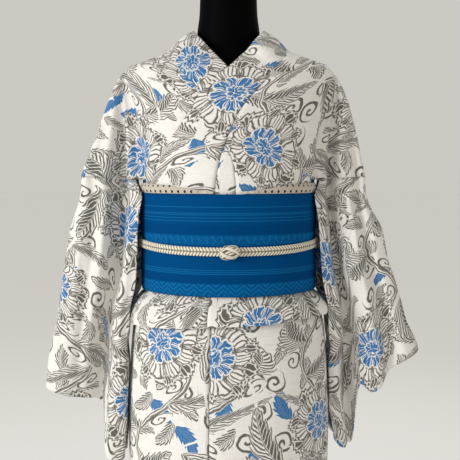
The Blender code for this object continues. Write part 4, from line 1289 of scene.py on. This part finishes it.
def makeScarf():
    top, inner, outer = columns(scarfLook["rows"])
    turns = spaced(9, 180, 120)
    order = [(-1, a) for a in turns] + [(1, a) for a in turns[-2::-1]]
    rows = []
    for up in range(15):
        row = []
        for sign, angle in order:
            profile = smoothPath(scarfLook["profile"], 14)
            across, high = profile[up]
            gathers = 1 + 0.10 * noise.noise(Vector((sign * angle / 6, up * 0.25, 3.0)))
            z = 1.1084 + top(angle) * max(high, 0.0) * gathers
            p = bodyPoint(angle, z, lerp(inner(angle), outer(angle), across))
            row.append(Vector((sign * p.x, p.y, z)))
        rows.append(row)
    piece = clothPiece("obiage_cloth", rows, scarfCloth, ["obiage"], wall=0.0009, flip=True)
    # the cut runs from the front of the wearer, so that the dots fade towards the middle
    mesh = piece.data
    cut = mesh.uv_layers["cut"]
    for loop in mesh.loops:
        co = mesh.vertices[loop.vertex_index].co
        cut.data[loop.index].uv = (math.atan2(co.x, -co.y) * 0.128, co.z - 1.1083)


def cordRoute():
    look = cordLook
    half = look["handLength"] / 2
    points = []
    for angle in spaced(0, 112, 28):
        p = bodyPoint(angle, 1.0, layers["obi"] - layers["groove"] + look["depth"] / 2 + 3 * layers["gap"])
        points.append((p.x, p.y))
    clear = look["depth"] / 2 + 3 * layers["gap"]
    back = look["handY"] + look["handThick"]
    points += [(0.1500, 0.080), (0.1590, 0.110), (half + clear, 0.140), (half + clear, back - 0.004)]
    points += [(half + 0.75 * clear, back + 0.75 * clear), (half - 0.006, back + clear)]
    points += [(half - 0.06, back + clear), (0.03, back + clear)]
    return points + [(-x, y) for x, y in points[:0:-1]]


def evenLoop(points, step):
    # the closed route again, with points a fixed step apart
    ring = points + points[:1]
    lengths = [0.0]
    for a, b in zip(ring, ring[1:]):
        lengths.append(lengths[-1] + math.dist(a, b))
    count = round(lengths[-1] / step)
    found = []
    k = 0
    for i in range(count):
        at = lengths[-1] * i / count
        while lengths[k + 1] < at:
            k += 1
        t = (at - lengths[k]) / (lengths[k + 1] - lengths[k])
        found.append((lerp(ring[k][0], ring[k + 1][0], t), lerp(ring[k][1], ring[k + 1][1], t)))
    return found


def tubePiece(name, tubes, node):
    # closed runs of rings as one mesh; each point has its painted shade, 0 in a valley and 1 on a strand's back,
    # passed to the material in the cut
    verts = []
    faces = []
    shades = []
    for rings in tubes:
        base = len(verts)
        sides = len(rings[0])
        for i, ring in enumerate(rings):
            n = (i + 1) % len(rings)
            for k, (p, shade) in enumerate(ring):
                verts.append(tuple(p))
                shades.append(shade)
                m = (k + 1) % sides
                faces.append((base + i * sides + k, base + n * sides + k, base + n * sides + m, base + i * sides + m))
    mesh = bpy.data.meshes.new(name)
    mesh.from_pydata(verts, [], faces)
    cut = mesh.uv_layers.new(name="cut")
    for loop in mesh.loops:
        cut.data[loop.index].uv = (shades[loop.vertex_index], 0.5)
    mesh.materials.append(cordSilk)
    mesh.shade_smooth()
    piece = bpy.data.objects.new(name, mesh)
    bpy.context.scene.collection.objects.link(piece)
    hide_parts(node)
    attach(piece, "root")


def strandRings(path, radius, centre, sides=8):
    rings = []
    for i, p in enumerate(path):
        ahead = (path[(i + 1) % len(path)] - path[i - 1]).normalized()
        outward = (p - centre).normalized()
        side = ahead.cross(outward).normalized()
        outward = side.cross(ahead)
        ring = []
        for k in range(sides):
            t = 2 * math.pi * k / sides
            # painted shade: each strand is dark on the half that faces the ball's middle and at its sides, light on
            # its back
            shade = max(0.0, math.sin(t)) ** 0.8
            ring.append((p + side * radius * math.cos(t) + outward * radius * math.sin(t), shade))
        rings.append(ring)
    return rings


def makeCord():
    look = cordLook
    route = evenLoop(cordRoute(), 0.0007)
    count = len(route)
    stitches = round(count * 0.0007 / look["stitch"])
    rings = []
    for i, (x, y) in enumerate(route):
        after = route[(i + 1) % count]
        before = route[i - 1]
        ahead = Vector((after[0] - before[0], after[1] - before[1], 0)).normalized()
        side = Vector((ahead.y, -ahead.x, 0))
        ring = []
        for k in range(22):
            t = 2 * math.pi * k / 22
            high = math.sin(t)
            middle = math.exp(-((high / 0.17) ** 2))
            # two rows of slanting stitches that meet in a V along the middle
            back = math.sin(math.pi * ((stitches * i / count + abs(high) * 0.8) % 1))
            scale = 1 - 0.16 * (1 - back) - 0.24 * middle
            offset = side * (look["depth"] / 2 * math.cos(t) * scale)
            offset += Vector((0, 0, look["height"] / 2 * high * scale))
            # the second number is painted shade: dark between the stitches and along the middle groove
            ring.append((Vector((x, y, cordZ(y))) + offset, min(back * 1.2, 1) * (1 - 0.7 * middle)))
        rings.append(ring)
    tubePiece("obijime_cord", [rings], "obijime")
    wide, deep, tall = look["knot"]
    front = bodyPoint(0, 1.0, layers["obi"] - layers["groove"]).y
    centre = Vector((look["knotX"], front - look["depth"] - 0.0085 - 3 * layers["gap"], cordZ(front)))
    strand = look["strand"]
    tubes = []
    for shift in (0.5, -0.5):
        path = []
        for t in spaced(0, 2 * math.pi, 260)[:-1]:
            lat = 0.98 * math.sin(5 * t) + shift * 0.24
            lon = 3 * t + shift * 0.34
            lift = 1 + 0.16 * math.sin(7.5 * t)
            path.append(centre + Vector((
                (wide / 2 - strand) * math.sin(lat) * lift * 1.12,
                (deep / 2 - strand) * math.cos(lat) * math.cos(lon) * lift,
                (tall / 2 - strand) * math.cos(lat) * math.sin(lon) * lift,
            )))
        tubes.append(strandRings(path, strand, centre))
    # what fills the middle of the ball, painted all in shade with the cord's darkest colour
    path = [centre + Vector((0.0050 * math.cos(t), 0, 0.0028 * math.sin(t))) for t in spaced(0, 2 * math.pi, 32)[:-1]]
    tubes.append([[(p, 0.0) for p, _ in ring] for ring in strandRings(path, 0.0058, centre, 16)])
    tubePiece("obijime_ball", tubes, "obijime_knot")


makeObi()
makeBow()
makeScarf()
makeCord()
print("obi, scarf and cord made")


# The stand keeps its solids

for node in ("stand_pole", "stand_base"):
    solid = frame["nodes"][node] if isinstance(frame["nodes"], dict) else bpy.data.objects[node]
    for spot in solid.material_slots:
        spot.material = standPaint
    if not solid.material_slots:
        solid.data.materials.append(standPaint)
print("stand finished")


# Floor, light and camera

stageLook = {"floorSize": 90.0, "key": 62.0, "fill": 2.0, "rim": 8.0, "sky": (1.0, 0.965, 0.905), "skyPower": 0.60}


def makeStage():
    half = stageLook["floorSize"] / 2
    mesh = bpy.data.meshes.new("floor")
    mesh.from_pydata([(-half, -half, 0), (half, -half, 0), (half, half, 0), (-half, half, 0)], [], [(0, 1, 2, 3)])
    mesh.materials.append(makeFloorPaint())
    floor = bpy.data.objects.new("floor", mesh)
    bpy.context.scene.collection.objects.link(floor)


def addLight(name, power, size, place, target):
    lamp = bpy.data.lights.new(name, "AREA")
    lamp.energy = power
    lamp.size = size
    light = bpy.data.objects.new(name, lamp)
    light.location = place
    light.rotation_euler = (Vector(target) - Vector(place)).to_track_quat("-Z", "Y").to_euler()
    bpy.context.scene.collection.objects.link(light)


makeStage()
addLight("keyLight", stageLook["key"], 1.1, (-2.5, -1.9, 1.8), (0, 0, 1.0))
addLight("fillLight", stageLook["fill"], 2.4, (2.3, -1.9, 1.6), (0, 0, 1.0))
addLight("backLight", stageLook["rim"], 1.8, (0.6, 2.4, 2.4), (0, 0, 1.1))
bpy.context.scene.view_settings.view_transform = "Standard"
world = bpy.context.scene.world or bpy.data.worlds.new("studio")
bpy.context.scene.world = world
world.use_nodes = True
backdrop = world.node_tree.nodes["Background"]
backdrop.inputs["Color"].default_value = (*stageLook["sky"], 1)
backdrop.inputs["Strength"].default_value = stageLook["skyPower"]

cameraLook = {"place": (0.0024, -1.2, 1.138), "down": 4.3, "pixels": 750.0}
lens = bpy.data.cameras.new("camera")
lens.sensor_fit = "HORIZONTAL"
lens.sensor_width = 36.0
lens.lens = cameraLook["pixels"] / 460 * 36.0
camera = bpy.data.objects.new("camera", lens)
camera.location = cameraLook["place"]
camera.rotation_euler = (math.radians(90 - cameraLook["down"]), 0, 0)
bpy.context.scene.collection.objects.link(camera)
bpy.context.scene.camera = camera
print("light and camera set")
